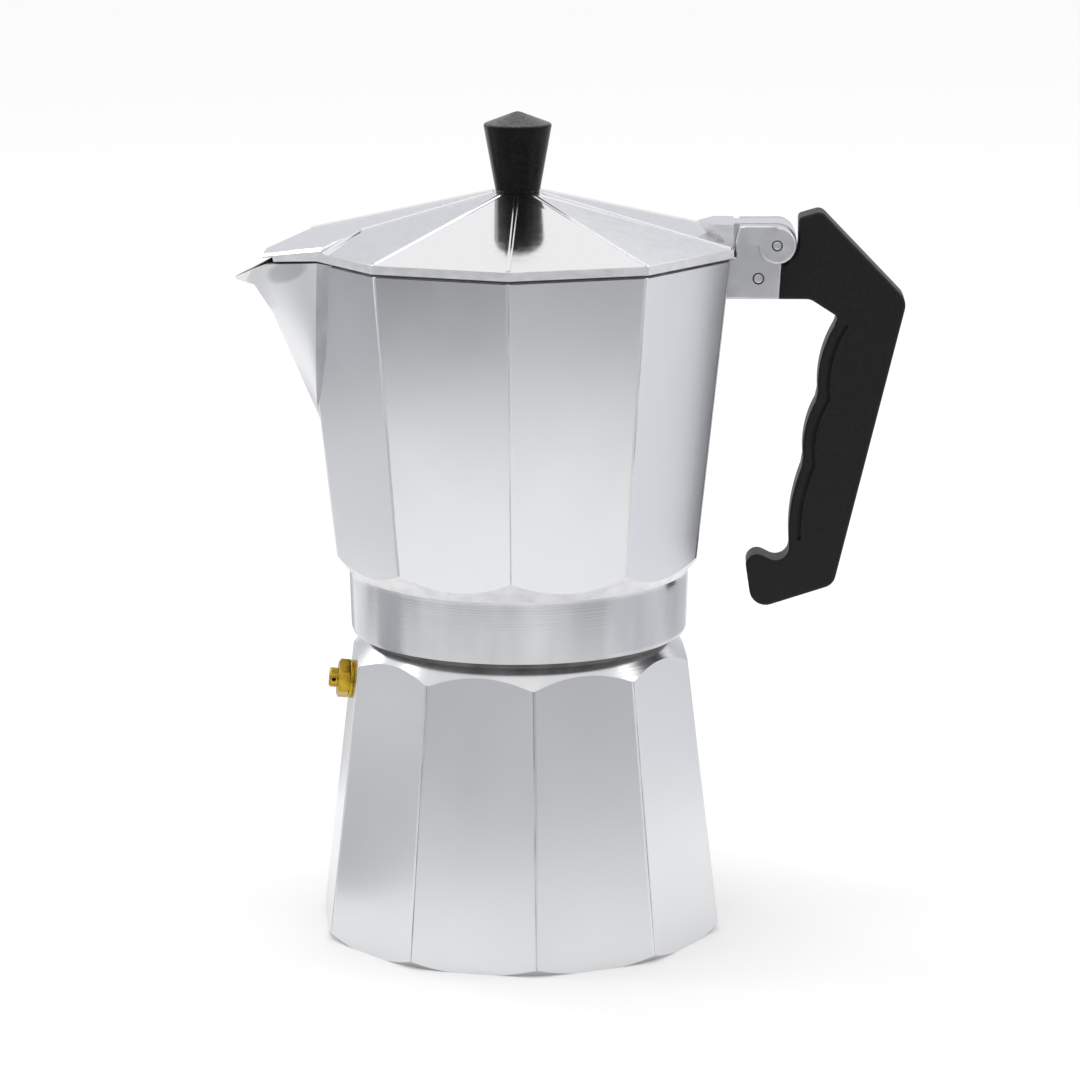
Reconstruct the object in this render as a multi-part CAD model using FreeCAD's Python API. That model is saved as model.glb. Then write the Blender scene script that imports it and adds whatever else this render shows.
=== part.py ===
import FreeCAD
import Part
import math
import os

# Ten-sided stovetop coffee maker, in millimetres, +Z up.
# The origin is on the pot's axis where it stands on the stove.
# The handle is towards +X, the spout towards -X and the hinge pin lies along Y.

# Clearances
RUNNING_FIT = 0.05
MOVING_GAP = 0.3
SWING_GAP = 0.4

# Boiler
SIDES = 10
BOILER_TURN = 6.86
BASE_RADIUS = 57.0
BOILER_TAPER = 0.1196
BASE_EDGE_WIDTH = 2.4
BASE_EDGE_RISE = 2.4
SHOULDER_HEIGHT = 76.9
SHOULDER_SLOPE = 1.15
BOILER_FLOOR = 4.0
BOILER_WALL = 3.8
BOILER_FLOOR_FILLET = 2.0
NECK_STEP = 4.5
NECK_WALL = 4.3
NECK_LENGTH = 9.425

# Safety valve, along its own axis out of the boiler's side
VALVE_HEIGHT = 70.0
VALVE_SHANK_RADIUS = 4.0
VALVE_SHANK_LENGTH = 5.6
VALVE_WASHER_RADIUS = 5.4
VALVE_WASHER_THICKNESS = 1.1
VALVE_HEX_RADIUS = 5.5
VALVE_HEX_LENGTH = 3.2
VALVE_BORE_RADIUS = 2.2
VALVE_SEAT_THICKNESS = 2.0
VALVE_ORIFICE_RADIUS = 1.1
VALVE_CAP_RADIUS = 2.7
VALVE_CAP_LENGTH = 2.3
VALVE_CAP_SPIGOT = 1.0
VALVE_VENT_RADIUS = 0.6
VALVE_STEM_RADIUS = 0.7
VALVE_HEAD_LENGTH = 1.2
VALVE_STEM_RECESS = 0.6
SPRING_COIL_RADIUS = 1.35
SPRING_WIRE_RADIUS = 0.24
SPRING_TURNS = 4

# Coffee funnel
FUNNEL_SHEET = 1.0
FUNNEL_FLANGE_MARGIN = 0.7
FUNNEL_BASKET_DEPTH = 30.0
FUNNEL_TUBE_RADIUS = 6.0
FUNNEL_TUBE_LIFT = 4.5
FUNNEL_TUBE_COLLAR = 5.0
SCREEN_THICKNESS = 0.8

# Gasket and filter plate
GASKET_THICKNESS = 3.2
GASKET_WIDTH = 9.0
PLATE_THICKNESS = 0.8
PLATE_HOLE_RADIUS = 0.9
PLATE_HOLE_PITCH = 8.0
PLATE_HOLE_RINGS = 3

# Collector
COLLAR_GAP = 0.3
COLLAR_WALL = 3.3
COLLAR_DEPTH = 12.3
COLLAR_DRAFT = 0.7
FOOT_RISE = 3.1
FOOT_SLOPE = 1.8
CORNER_RISE = 11.3
CORNER_STEP = 4.9
COLLECTOR_TAPER = 0.1107
COLLECTOR_HEIGHT = 93.0
COLLECTOR_WALL = 3.0
COLLECTOR_FLOOR = 4.0
RIM_EDGE = 0.45
CHAMBER_LEDGE = 10.6
CHAMBER_DEPTH = 2.5
COLUMN_BASE_RADIUS = 10.0
COLUMN_TOP_RADIUS = 7.0
COLUMN_HEIGHT = 62.0
COLUMN_CAP_RISE = 4.0
COLUMN_BORE_RADIUS = 4.2
COLUMN_PORT_HEIGHT = 8.0
COLUMN_PORT_WIDTH = 5.0

# Spout, in distances out from the pot's sides and depths below the rim
SPOUT_OVERHANG = 17.35
SPOUT_HALF_WIDTH = 26.4
SPOUT_SINK = 0.4
SPOUT_KNEE_DROP = 39.5
SPOUT_FOOT_DROP = 54.1
SPOUT_KEEL_SLOPE = 0.4357
SPOUT_FOOT_HALF_WIDTH = 12.0
SPOUT_WALL_SHIFT = 3.0
BEAK_ROOT_BACK = 7.2
BEAK_ROOT_DROP = 16.4
BEAK_ROOT_HALF = 7.6
BEAK_BEND_BACK = 2.9
BEAK_BEND_DROP = 9.7
BEAK_BEND_HALF = 4.3
BEAK_OVERHANG = 2.1
BEAK_TIP_DROP = 8.4
BEAK_TIP_HALF = 1.5
BEAK_WALL = 1.6
LIP_DROP_TIP = 7.6
LIP_DROP_BEND = 4.9

# Hinge cheeks, cast with the collector
HINGE_REACH = 12.53
HINGE_RISE = 2.8
HINGE_PIN_RADIUS = 1.5
CHEEK_GAP = 11.0
CHEEK_THICKNESS = 4.5
CHEEK_BACK = 1.5
CHEEK_BACK_LEAN = 0.8
CHEEK_DROP = 12.0
EAR_RADIUS = 5.2
EAR_RAISE = 1.0
CHEEK_LEDGE_DROP = 0.5
HANDLE_PIN_FORWARD = 5.0
HANDLE_PIN_DROP = 6.3
HANDLE_PIN_RADIUS = 1.6

# Lid
LID_OVERHANG = 0.9
LID_BAND = 2.9
LID_SLOPE = 0.238
LID_THICKNESS = 2.0
KNOB_SEAT_RADIUS = 6.2
COVER_CORNER_BACK = 7.4
COVER_INNER_BACK = 18.1
COVER_TIP_BACK = 5.5
COVER_TIP_HALF = 4.6
COVER_THICKNESS = 2.3
COVER_WING_RISE = 0.7
TAB_RADIUS = 5.4
TAB_LENGTH = 9.9
TAB_SHOULDER_BACK = 5.7
TAB_HALF_WIDTH = 8.4
TAB_ROOT_BACK = 0.2
TAB_UNDERSIDE = 0.7

# Knob and its screw
KNOB_BASE_RADIUS = 6.1
KNOB_RIM_RADIUS = 9.3
KNOB_RIM_RISE = 18.3
KNOB_CONE_RISE = 3.5
KNOB_SCREW_RADIUS = 2.0
KNOB_SCREW_GRIP = 11.0
KNOB_SCREW_HEAD_RADIUS = 3.6
KNOB_SCREW_HEAD_HEIGHT = 2.2
KNOB_WASHER_RADIUS = 5.0
KNOB_WASHER_THICKNESS = 0.8

# Handle: corners are (distance behind the hinge pin, height over the rim)
HANDLE_TONGUE_GAP = 0.4
HANDLE_UNDERSIDE = -12.7
HANDLE_BEND = (9.2, -12.7)
HANDLE_CORNER = (16.5, -17.4)
SWELL_ENDS = ((16.4, -19.0), (11.6, -39.6), (7.8, -57.8), (4.05, -80.6))
SWELL_CRESTS = ((11.9, -30.4), (7.7, -51.0), (4.4, -70.0))
HOOK_DIP = (4.05, -87.5)
HOOK_TOP = (-8.6, -81.2)
HOOK_TOE = (-5.9, -99.4)
HANDLE_HEEL = (16.4, -92.1)
HANDLE_SHOULDER = (35.5, -12.9)
HANDLE_PEAK = (12.0, 11.5)
HANDLE_FRONT_SLOPE = 0.30
HANDLE_BEND_RADIUS = 4.0
HANDLE_CORNER_RADIUS = 1.6
HOOK_DIP_RADIUS = 3.7
HOOK_TOP_RADIUS = 3.1
HOOK_TOE_RADIUS = 4.5
HANDLE_HEEL_RADIUS = 4.0
HANDLE_SHOULDER_RADIUS = 5.0
HANDLE_PEAK_RADIUS = 2.6
HANDLE_ROUND = 2.0

# Heights and radii that follow from the sizes above
ORIGIN = FreeCAD.Vector(0, 0, 0)
UP = FreeCAD.Vector(0, 0, 1)
ACROSS = FreeCAD.Vector(0, 1, 0)
APOTHEM = math.cos(math.pi / SIDES)
SHOULDER_RADIUS = BASE_RADIUS - BOILER_TAPER * SHOULDER_HEIGHT
NECK_RADIUS = SHOULDER_RADIUS - NECK_STEP
NECK_FOOT = SHOULDER_HEIGHT + SHOULDER_SLOPE * NECK_STEP
NECK_TOP = NECK_FOOT + NECK_LENGTH
NECK_BORE = NECK_RADIUS - NECK_WALL
FLANGE_TOP = NECK_TOP + FUNNEL_SHEET
GASKET_TOP = FLANGE_TOP + GASKET_THICKNESS
SEAT = GASKET_TOP + PLATE_THICKNESS
COLLAR_BORE = NECK_RADIUS + COLLAR_GAP
COLLAR_RADIUS = COLLAR_BORE + COLLAR_WALL
COLLAR_BOTTOM = SEAT - COLLAR_DEPTH
FOOT = SEAT + FOOT_RISE
FLOOR_TOP = SEAT + CHAMBER_DEPTH + COLLECTOR_FLOOR
RIM = SEAT + COLLECTOR_HEIGHT
CORNER_RADIUS = COLLAR_RADIUS + CORNER_STEP
CHAMBER_RADIUS = COLLAR_BORE - CHAMBER_LEDGE
RIM_RADIUS = CORNER_RADIUS + COLLECTOR_TAPER * (COLLECTOR_HEIGHT - CORNER_RISE)
RIM_SIDE = APOTHEM * RIM_RADIUS
LID_RADIUS = RIM_RADIUS + LID_OVERHANG
LID_SIDE = APOTHEM * LID_RADIUS
LID_EDGE = RIM + LID_BAND
SPOUT_REACH = RIM_SIDE + SPOUT_OVERHANG
BEAK_ROOT_X = SPOUT_REACH - BEAK_ROOT_BACK
BEAK_BEND_X = SPOUT_REACH - BEAK_BEND_BACK
BEAK_TIP_X = SPOUT_REACH + BEAK_OVERHANG
COVER_CORNER_X = LID_SIDE - COVER_CORNER_BACK
COVER_INNER_X = LID_SIDE - COVER_INNER_BACK
COVER_TIP_X = SPOUT_REACH - COVER_TIP_BACK
TAB_FRONT_X = LID_SIDE - TAB_LENGTH
TAB_SHOULDER_X = LID_SIDE - TAB_SHOULDER_BACK
TAB_UNDERCUT = TAB_SHOULDER_BACK - TAB_ROOT_BACK
HINGE = RIM + HINGE_RISE
HINGE_X = RIM_SIDE + HINGE_REACH
CHEEK_FRONT_X = LID_SIDE + SWING_GAP
CHEEK_BACK_X = HINGE_X + CHEEK_BACK
HANDLE_PIN_X = HINGE_X - HANDLE_PIN_FORWARD
HALF_GAP = CHEEK_GAP / 2
CHEEK_OUTER = HALF_GAP + CHEEK_THICKNESS


def boiler_radius(z):
    return BASE_RADIUS - BOILER_TAPER * z


def collector_radius(z):
    return CORNER_RADIUS + COLLECTOR_TAPER * (z - SEAT - CORNER_RISE)


def ring(radius, z, turn=0.0):
    """Closed polygon over the corners, with a corner towards -Y when turn is 0."""
    corners = []
    for k in range(SIDES + 1):
        angle = math.radians(turn - 90 + 360 / SIDES * k)
        corners.append(FreeCAD.Vector(radius * math.cos(angle), radius * math.sin(angle), z))
    return Part.makePolygon(corners)


def faceted(levels, turn=0.0):
    """Flat-sided solid through rings given as (corner radius, z)."""
    return Part.makeLoft([ring(radius, z, turn) for radius, z in levels], True, True)


def turned(outline):
    """Solid turned about Z from a closed outline of (radius, z)."""
    corners = [FreeCAD.Vector(radius, 0, z) for radius, z in outline]
    return Part.Face(Part.makePolygon(corners + corners[:1])).revolve(ORIGIN, UP, 360)


def tube(outer, inner, bottom, top):
    """Ring with a round bore between two heights."""
    return turned([(inner, bottom), (outer, bottom), (outer, top), (inner, top)])


def cylinder(radius, bottom, top):
    return Part.makeCylinder(radius, top - bottom, FreeCAD.Vector(0, 0, bottom))


def cross_cylinder(radius, x, z, half_length):
    """Cylinder along Y, centred on the pot's middle plane."""
    return Part.makeCylinder(radius, 2 * half_length, FreeCAD.Vector(x, -half_length, z), ACROSS)


def side_plate(outline, start, end):
    """Plate drawn in (x, z) and extruded along Y from start to end."""
    corners = [FreeCAD.Vector(x, start, z) for x, z in outline]
    face = Part.Face(Part.makePolygon(corners + corners[:1]))
    return face.extrude(ACROSS * (end - start))


def plan_plate(outline, bottom, top):
    """Plate drawn in (x, y) and extruded upwards."""
    corners = [FreeCAD.Vector(x, y, bottom) for x, y in outline]
    face = Part.Face(Part.makePolygon(corners + corners[:1]))
    return face.extrude(UP * (top - bottom))


def rounded_corner(before, corner, after, radius):
    """Tangent points and middle of the arc that rounds a corner in the (x, z) plane."""
    back = (before - corner).normalize()
    ahead = (after - corner).normalize()
    half = back.getAngle(ahead) / 2
    reach = radius / math.tan(half)
    bisector = (back + ahead).normalize()
    middle = corner + bisector * (radius / math.sin(half) - radius)
    return corner + back * reach, middle, corner + ahead * reach


# Boiler

def make_boiler():
    sides = faceted([(boiler_radius(0), 0), (boiler_radius(NECK_TOP), NECK_TOP)], BOILER_TURN)
    wide = BASE_RADIUS + BASE_EDGE_WIDTH
    edge_slope = BASE_EDGE_RISE / BASE_EDGE_WIDTH
    envelope = turned([
        (0, 0),
        (BASE_RADIUS - BASE_EDGE_WIDTH, 0),
        (wide, 2 * BASE_EDGE_WIDTH * edge_slope),
        (wide, SHOULDER_HEIGHT - SHOULDER_SLOPE * (wide - SHOULDER_RADIUS)),
        (NECK_RADIUS, NECK_FOOT),
        (NECK_RADIUS, NECK_TOP),
        (0, NECK_TOP),
    ])
    low = APOTHEM * boiler_radius(BOILER_FLOOR) - BOILER_WALL
    high = APOTHEM * SHOULDER_RADIUS - BOILER_WALL
    hollow = turned([
        (0, BOILER_FLOOR),
        (low, BOILER_FLOOR),
        (high, SHOULDER_HEIGHT),
        (NECK_BORE, SHOULDER_HEIGHT + (high - NECK_BORE)),
        (NECK_BORE, NECK_TOP),
        (0, NECK_TOP),
    ])
    floor_edges = [e for e in hollow.Edges if abs(e.BoundBox.ZMax - BOILER_FLOOR) < RUNNING_FIT]
    hollow = hollow.makeFillet(BOILER_FLOOR_FILLET, [e for e in floor_edges if len(e.Vertexes) == 1])
    shank_hole = on_valve_axis(cylinder(VALVE_SHANK_RADIUS, -BASE_RADIUS / 2, BASE_RADIUS / 2))
    return sides.common(envelope).cut(hollow).cut(shank_hole)


# Safety valve

def on_valve_axis(shape):
    """Moves a shape drawn up its own Z axis to the valve's place, square to the boiler's side."""
    tilt = math.degrees(math.atan(BOILER_TAPER * APOTHEM))
    lean = FreeCAD.Rotation(ACROSS, tilt - 90)
    spin = FreeCAD.Rotation(UP, BOILER_TURN)
    seat = FreeCAD.Vector(-APOTHEM * boiler_radius(VALVE_HEIGHT), 0, VALVE_HEIGHT)
    placed = shape.copy()
    at_side = FreeCAD.Placement(spin.multVec(seat), spin.multiply(lean))
    placed.Placement = at_side.multiply(shape.Placement)
    return placed


VALVE_HEX_TOP = VALVE_WASHER_THICKNESS + VALVE_HEX_LENGTH
VALVE_SEAT = VALVE_SEAT_THICKNESS - VALVE_SHANK_LENGTH
VALVE_HEAD_TOP = VALVE_SEAT + VALVE_HEAD_LENGTH
VALVE_CAP_FOOT = VALVE_HEX_TOP - VALVE_CAP_SPIGOT
VALVE_END = VALVE_HEX_TOP + VALVE_CAP_LENGTH


def make_valve_washer():
    ring_washer = tube(VALVE_WASHER_RADIUS, VALVE_SHANK_RADIUS, 0, VALVE_WASHER_THICKNESS)
    return on_valve_axis(ring_washer)


def make_valve_body():
    corners = []
    for k in range(7):
        angle = math.radians(60 * k)
        corners.append((VALVE_HEX_RADIUS * math.cos(angle), VALVE_HEX_RADIUS * math.sin(angle)))
    hexagon = plan_plate(corners[:6], VALVE_WASHER_THICKNESS, VALVE_HEX_TOP)
    shank = cylinder(VALVE_SHANK_RADIUS, -VALVE_SHANK_LENGTH, VALVE_WASHER_THICKNESS)
    bore = cylinder(VALVE_BORE_RADIUS, VALVE_SEAT, VALVE_HEX_TOP)
    orifice = cylinder(VALVE_ORIFICE_RADIUS, -VALVE_SHANK_LENGTH, VALVE_SEAT)
    return on_valve_axis(hexagon.fuse(shank).cut(bore).cut(orifice).removeSplitter())


def make_valve_cap():
    spigot = cylinder(VALVE_BORE_RADIUS, VALVE_CAP_FOOT, VALVE_HEX_TOP)
    sleeve = cylinder(VALVE_CAP_RADIUS, VALVE_HEX_TOP, VALVE_END)
    stem_hole = cylinder(VALVE_STEM_RADIUS + RUNNING_FIT, VALVE_CAP_FOOT, VALVE_END)
    vent_height = VALVE_HEX_TOP + VALVE_CAP_LENGTH / 2
    vent = cross_cylinder(VALVE_VENT_RADIUS, 0, vent_height, VALVE_CAP_RADIUS)
    return on_valve_axis(spigot.fuse(sleeve).cut(stem_hole).cut(vent).removeSplitter())


def make_valve_pin():
    head = cylinder(VALVE_BORE_RADIUS - MOVING_GAP, VALVE_SEAT, VALVE_HEAD_TOP)
    stem = cylinder(VALVE_STEM_RADIUS, VALVE_HEAD_TOP, VALVE_END - VALVE_STEM_RECESS)
    return on_valve_axis(head.fuse(stem).removeSplitter())


def make_valve_spring():
    start = VALVE_HEAD_TOP + SPRING_WIRE_RADIUS + RUNNING_FIT
    end = VALVE_CAP_FOOT - SPRING_WIRE_RADIUS - RUNNING_FIT
    pitch = (end - start) / SPRING_TURNS
    helix = Part.makeHelix(pitch, end - start, SPRING_COIL_RADIUS)
    rise = math.atan2(pitch, 2 * math.pi * SPRING_COIL_RADIUS)
    along = FreeCAD.Vector(0, math.cos(rise), math.sin(rise))
    begin = FreeCAD.Vector(SPRING_COIL_RADIUS, 0, 0)
    section = Part.Wire(Part.makeCircle(SPRING_WIRE_RADIUS, begin, along))
    spring = Part.Wire(helix).makePipeShell([section], True, False)
    spring.translate(UP * start)
    print("valve spring gap between turns", round(pitch - 2 * SPRING_WIRE_RADIUS, 2))
    return on_valve_axis(spring)


# Coffee funnel

BASKET_RADIUS = NECK_BORE - MOVING_GAP
BASKET_FLOOR = FLANGE_TOP - FUNNEL_BASKET_DEPTH
SCREEN_BOTTOM = BASKET_FLOOR + FUNNEL_SHEET


def make_funnel_basket():
    shell = turned([
        (FUNNEL_TUBE_RADIUS, BASKET_FLOOR - FUNNEL_TUBE_COLLAR),
        (FUNNEL_TUBE_RADIUS + FUNNEL_SHEET, BASKET_FLOOR - FUNNEL_TUBE_COLLAR),
        (FUNNEL_TUBE_RADIUS + FUNNEL_SHEET, BASKET_FLOOR),
        (BASKET_RADIUS, BASKET_FLOOR),
        (BASKET_RADIUS, NECK_TOP),
        (NECK_RADIUS - FUNNEL_FLANGE_MARGIN, NECK_TOP),
        (NECK_RADIUS - FUNNEL_FLANGE_MARGIN, FLANGE_TOP),
        (BASKET_RADIUS - FUNNEL_SHEET, FLANGE_TOP),
        (BASKET_RADIUS - FUNNEL_SHEET, SCREEN_BOTTOM),
        (FUNNEL_TUBE_RADIUS, SCREEN_BOTTOM),
    ])
    return shell


def make_funnel_tube():
    bottom = BOILER_FLOOR + FUNNEL_TUBE_LIFT
    return tube(FUNNEL_TUBE_RADIUS, FUNNEL_TUBE_RADIUS - FUNNEL_SHEET, bottom, SCREEN_BOTTOM)


def perforated(disc, limit):
    """Drills rings of small holes, each six more than the one inside it, within a radius."""
    middle = disc.BoundBox.ZMin
    height = disc.BoundBox.ZLength
    drills = [Part.makeCylinder(PLATE_HOLE_RADIUS, height, UP * middle)]
    for ring_number in range(1, PLATE_HOLE_RINGS + 1):
        radius = PLATE_HOLE_PITCH * ring_number
        if radius + PLATE_HOLE_RADIUS > limit:
            break
        count = 6 * ring_number
        for k in range(count):
            angle = 2 * math.pi * k / count
            place = FreeCAD.Vector(radius * math.cos(angle), radius * math.sin(angle), middle)
            drills.append(Part.makeCylinder(PLATE_HOLE_RADIUS, height, place))
    return disc.cut(Part.makeCompound(drills))


def make_funnel_screen():
    radius = BASKET_RADIUS - FUNNEL_SHEET
    disc = cylinder(radius, SCREEN_BOTTOM, SCREEN_BOTTOM + SCREEN_THICKNESS)
    return perforated(disc, radius)


# Gasket and filter plate

def make_gasket():
    outer = COLLAR_BORE - MOVING_GAP
    return tube(outer, outer - GASKET_WIDTH, FLANGE_TOP, GASKET_TOP)


def make_filter_plate():
    disc = cylinder(COLLAR_BORE - MOVING_GAP, GASKET_TOP, SEAT)
    return perforated(disc, CHAMBER_RADIUS)


# Collector

def spout_section(keel_x, corner_x, half_width, z):
    """Closed plan section of the spout: its keel, its two shoulders and a straight back."""
    back_x = -corner_x / 2
    corners = [(-keel_x, 0), (-corner_x, -half_width), (back_x, -half_width)]
    corners += [(back_x, half_width), (-corner_x, half_width), (-keel_x, 0)]
    return Part.makePolygon([FreeCAD.Vector(x, y, z) for x, y in corners])


def make_spout():
    """V-shaped spout that grows out of two sides of the pot, from a foot to the rim."""
    knee = RIM - SPOUT_KNEE_DROP
    knee_corner = math.radians(180 / SIDES)
    knee_radius = collector_radius(knee) - MOVING_GAP
    foot = RIM - SPOUT_FOOT_DROP
    foot_keel = APOTHEM * collector_radius(foot) - 2 * MOVING_GAP
    side_angle = 2 * math.pi / SIDES
    shoulder_x = RIM_SIDE - SPOUT_SINK - SPOUT_HALF_WIDTH * math.sin(side_angle)
    shoulder_x /= math.cos(side_angle)
    sections = [
        spout_section(foot_keel, foot_keel, SPOUT_FOOT_HALF_WIDTH, foot),
        spout_section(
            SPOUT_REACH - SPOUT_KEEL_SLOPE * SPOUT_KNEE_DROP,
            knee_radius * math.cos(knee_corner),
            knee_radius * math.sin(knee_corner),
            knee,
        ),
        spout_section(SPOUT_REACH, shoulder_x, SPOUT_HALF_WIDTH, RIM),
    ]
    return Part.makeLoft(sections, True, True)


def beak_section(x, keel_drop, half_width, lip_drop):
    """Section of the pouring lip at a distance from the axis: a V with upright sides."""
    corners = [(0, -keel_drop), (half_width, -lip_drop), (half_width, 0)]
    corners += [(-half_width, 0), (-half_width, -lip_drop), (0, -keel_drop)]
    return Part.makePolygon([FreeCAD.Vector(-x, y, RIM + z) for y, z in corners])


def make_beak(wall):
    """Pouring lip, or with a wall its channel."""
    thin = wall / 2
    deep = wall + thin
    sections = [
        beak_section(BEAK_ROOT_X - deep, BEAK_ROOT_DROP - deep, BEAK_ROOT_HALF - thin, LIP_DROP_BEND / 2),
        beak_section(BEAK_BEND_X, BEAK_BEND_DROP - deep, BEAK_BEND_HALF - wall, LIP_DROP_BEND - deep / 2),
        beak_section(BEAK_TIP_X, BEAK_TIP_DROP - thin, BEAK_TIP_HALF - thin, LIP_DROP_TIP - thin),
    ]
    return Part.makeLoft(sections, True, True)


def lid_height(x):
    """Height of the lid's spout-side facet, also beyond the lid's edge."""
    return LID_EDGE + LID_SLOPE / APOTHEM * (x + LID_SIDE)


def make_lip_cut():
    """What is cut off above the spout so that its rim dips under the lid's cover to the tip."""
    gap = COVER_THICKNESS + 2 * MOVING_GAP
    start_x = (RIM + gap - LID_EDGE) * APOTHEM / LID_SLOPE - LID_SIDE
    start = FreeCAD.Vector(start_x, 0, RIM)
    bend = FreeCAD.Vector(-BEAK_ROOT_X, 0, lid_height(-BEAK_ROOT_X) - gap)
    middle = FreeCAD.Vector(-BEAK_BEND_X, 0, RIM - LIP_DROP_BEND)
    tip = FreeCAD.Vector(-BEAK_TIP_X, 0, RIM - LIP_DROP_TIP)
    beyond = FreeCAD.Vector(-BEAK_TIP_X, 0, RIM)
    edges = [
        Part.makeLine(start, bend),
        Part.Arc(bend, middle, tip).toShape(),
        Part.makeLine(tip, beyond),
        Part.makeLine(beyond, start),
    ]
    block = Part.Face(Part.Wire(edges)).extrude(ACROSS * (2 * SPOUT_HALF_WIDTH))
    block.translate(ACROSS * -SPOUT_HALF_WIDTH)
    return block


def make_column():
    """Tapered riser with two side ports under its cap."""
    top = FLOOR_TOP + COLUMN_HEIGHT
    cone = turned([
        (0, FLOOR_TOP),
        (COLUMN_BASE_RADIUS, FLOOR_TOP),
        (COLUMN_TOP_RADIUS, top),
        (COLUMN_BORE_RADIUS / 2, top + COLUMN_CAP_RISE),
        (0, top + COLUMN_CAP_RISE),
    ])
    port_bottom = top - COLUMN_PORT_HEIGHT
    port = Part.makeBox(
        COLUMN_PORT_WIDTH,
        2 * COLUMN_BASE_RADIUS,
        COLUMN_PORT_HEIGHT,
        FreeCAD.Vector(-COLUMN_PORT_WIDTH / 2, -COLUMN_BASE_RADIUS, port_bottom),
    )
    return cone.cut(port).cut(cylinder(COLUMN_BORE_RADIUS, FLOOR_TOP, top))


def make_cheek(side):
    """One hinge cheek with its raised ear, on the +Y side for 1 and the -Y side for -1.

    Its front is rounded about the hinge pin, so that the lid's edge swings past it.
    """
    inner = side * HALF_GAP
    outer = side * CHEEK_OUTER
    root_x = APOTHEM * collector_radius(RIM - CHEEK_DROP) - COLLECTOR_WALL / 2
    ledge = RIM - CHEEK_LEDGE_DROP
    top = HINGE + EAR_RADIUS
    root = side_plate([
        (root_x, RIM - CHEEK_DROP),
        (CHEEK_BACK_X - CHEEK_BACK_LEAN, RIM - CHEEK_DROP),
        (CHEEK_BACK_X, HINGE),
        (CHEEK_FRONT_X, HINGE),
        (CHEEK_FRONT_X, ledge),
        (root_x, ledge),
    ], inner, outer)
    arm = side_plate([
        (CHEEK_FRONT_X, HINGE),
        (CHEEK_BACK_X, HINGE),
        (HINGE_X, top),
        (CHEEK_FRONT_X, top),
    ], inner, outer)
    face = outer + side * EAR_RAISE
    ear = Part.makeCylinder(
        EAR_RADIUS,
        abs(face - inner),
        FreeCAD.Vector(HINGE_X, inner, HINGE),
        ACROSS * side,
    )
    web = plan_plate([(CHEEK_FRONT_X, outer), (HINGE_X, outer), (HINGE_X, face)], HINGE, top)
    swing = cross_cylinder(HINGE_X - CHEEK_FRONT_X, HINGE_X, HINGE, CHEEK_OUTER + EAR_RAISE)
    return root.fuse([arm.fuse(web).common(swing), ear])


def make_collector():
    edge_z = RIM - RIM_EDGE
    sides = faceted([
        (collector_radius(COLLAR_BOTTOM), COLLAR_BOTTOM),
        (collector_radius(edge_z), edge_z),
        (RIM_RADIUS - RIM_EDGE, RIM),
    ])
    wide = SPOUT_REACH
    envelope = turned([
        (0, COLLAR_BOTTOM),
        (COLLAR_RADIUS - COLLAR_DRAFT, COLLAR_BOTTOM),
        (COLLAR_RADIUS, FOOT),
        (wide, FOOT + FOOT_SLOPE * (wide - COLLAR_RADIUS)),
        (wide, RIM),
        (0, RIM),
    ])
    inner_step = COLLECTOR_WALL / APOTHEM
    hollow_sides = faceted([
        (collector_radius(FLOOR_TOP) - inner_step, FLOOR_TOP),
        (RIM_RADIUS - inner_step, RIM),
    ])
    foot_shift = COLLECTOR_WALL * math.hypot(1, FOOT_SLOPE) / FOOT_SLOPE
    inner_foot = COLLAR_RADIUS - foot_shift + (FLOOR_TOP - FOOT) / FOOT_SLOPE
    inner_envelope = turned([
        (0, FLOOR_TOP),
        (inner_foot, FLOOR_TOP),
        (wide, FLOOR_TOP + FOOT_SLOPE * (wide - inner_foot)),
        (wide, RIM),
        (0, RIM),
    ])
    spout = make_spout()
    channel = spout.copy()
    channel.translate(FreeCAD.Vector(SPOUT_WALL_SHIFT, 0, 0))
    shell = sides.common(envelope).fuse([spout, make_beak(0)])
    shell = shell.cut(hollow_sides.common(inner_envelope))
    shell = shell.cut(channel).cut(make_beak(BEAK_WALL)).cut(make_lip_cut())
    floor = cylinder(COLLAR_BORE + COLLAR_WALL / 2, SEAT, FLOOR_TOP)
    shell = shell.fuse([floor, make_cheek(1), make_cheek(-1)])
    collar_bore = cylinder(COLLAR_BORE, COLLAR_BOTTOM, SEAT)
    chamber = cylinder(CHAMBER_RADIUS, SEAT, SEAT + CHAMBER_DEPTH)
    riser = cylinder(COLUMN_BORE_RADIUS, SEAT, FLOOR_TOP)
    hinge_hole = cross_cylinder(HINGE_PIN_RADIUS, HINGE_X, HINGE, CHEEK_OUTER + EAR_RAISE)
    handle_hole = cross_cylinder(HANDLE_PIN_RADIUS, HANDLE_PIN_X, RIM - HANDLE_PIN_DROP, CHEEK_OUTER)
    for drill in (collar_bore, chamber, riser, hinge_hole, handle_hole):
        shell = shell.cut(drill)
    return shell


def make_hinge_pin():
    return cross_cylinder(HINGE_PIN_RADIUS, HINGE_X, HINGE, CHEEK_OUTER + EAR_RAISE)


def make_handle_pin():
    return cross_cylinder(HANDLE_PIN_RADIUS, HANDLE_PIN_X, RIM - HANDLE_PIN_DROP, CHEEK_OUTER)


# Lid

KNOB_SEAT = LID_EDGE + LID_SLOPE * (LID_RADIUS - KNOB_SEAT_RADIUS)


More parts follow.
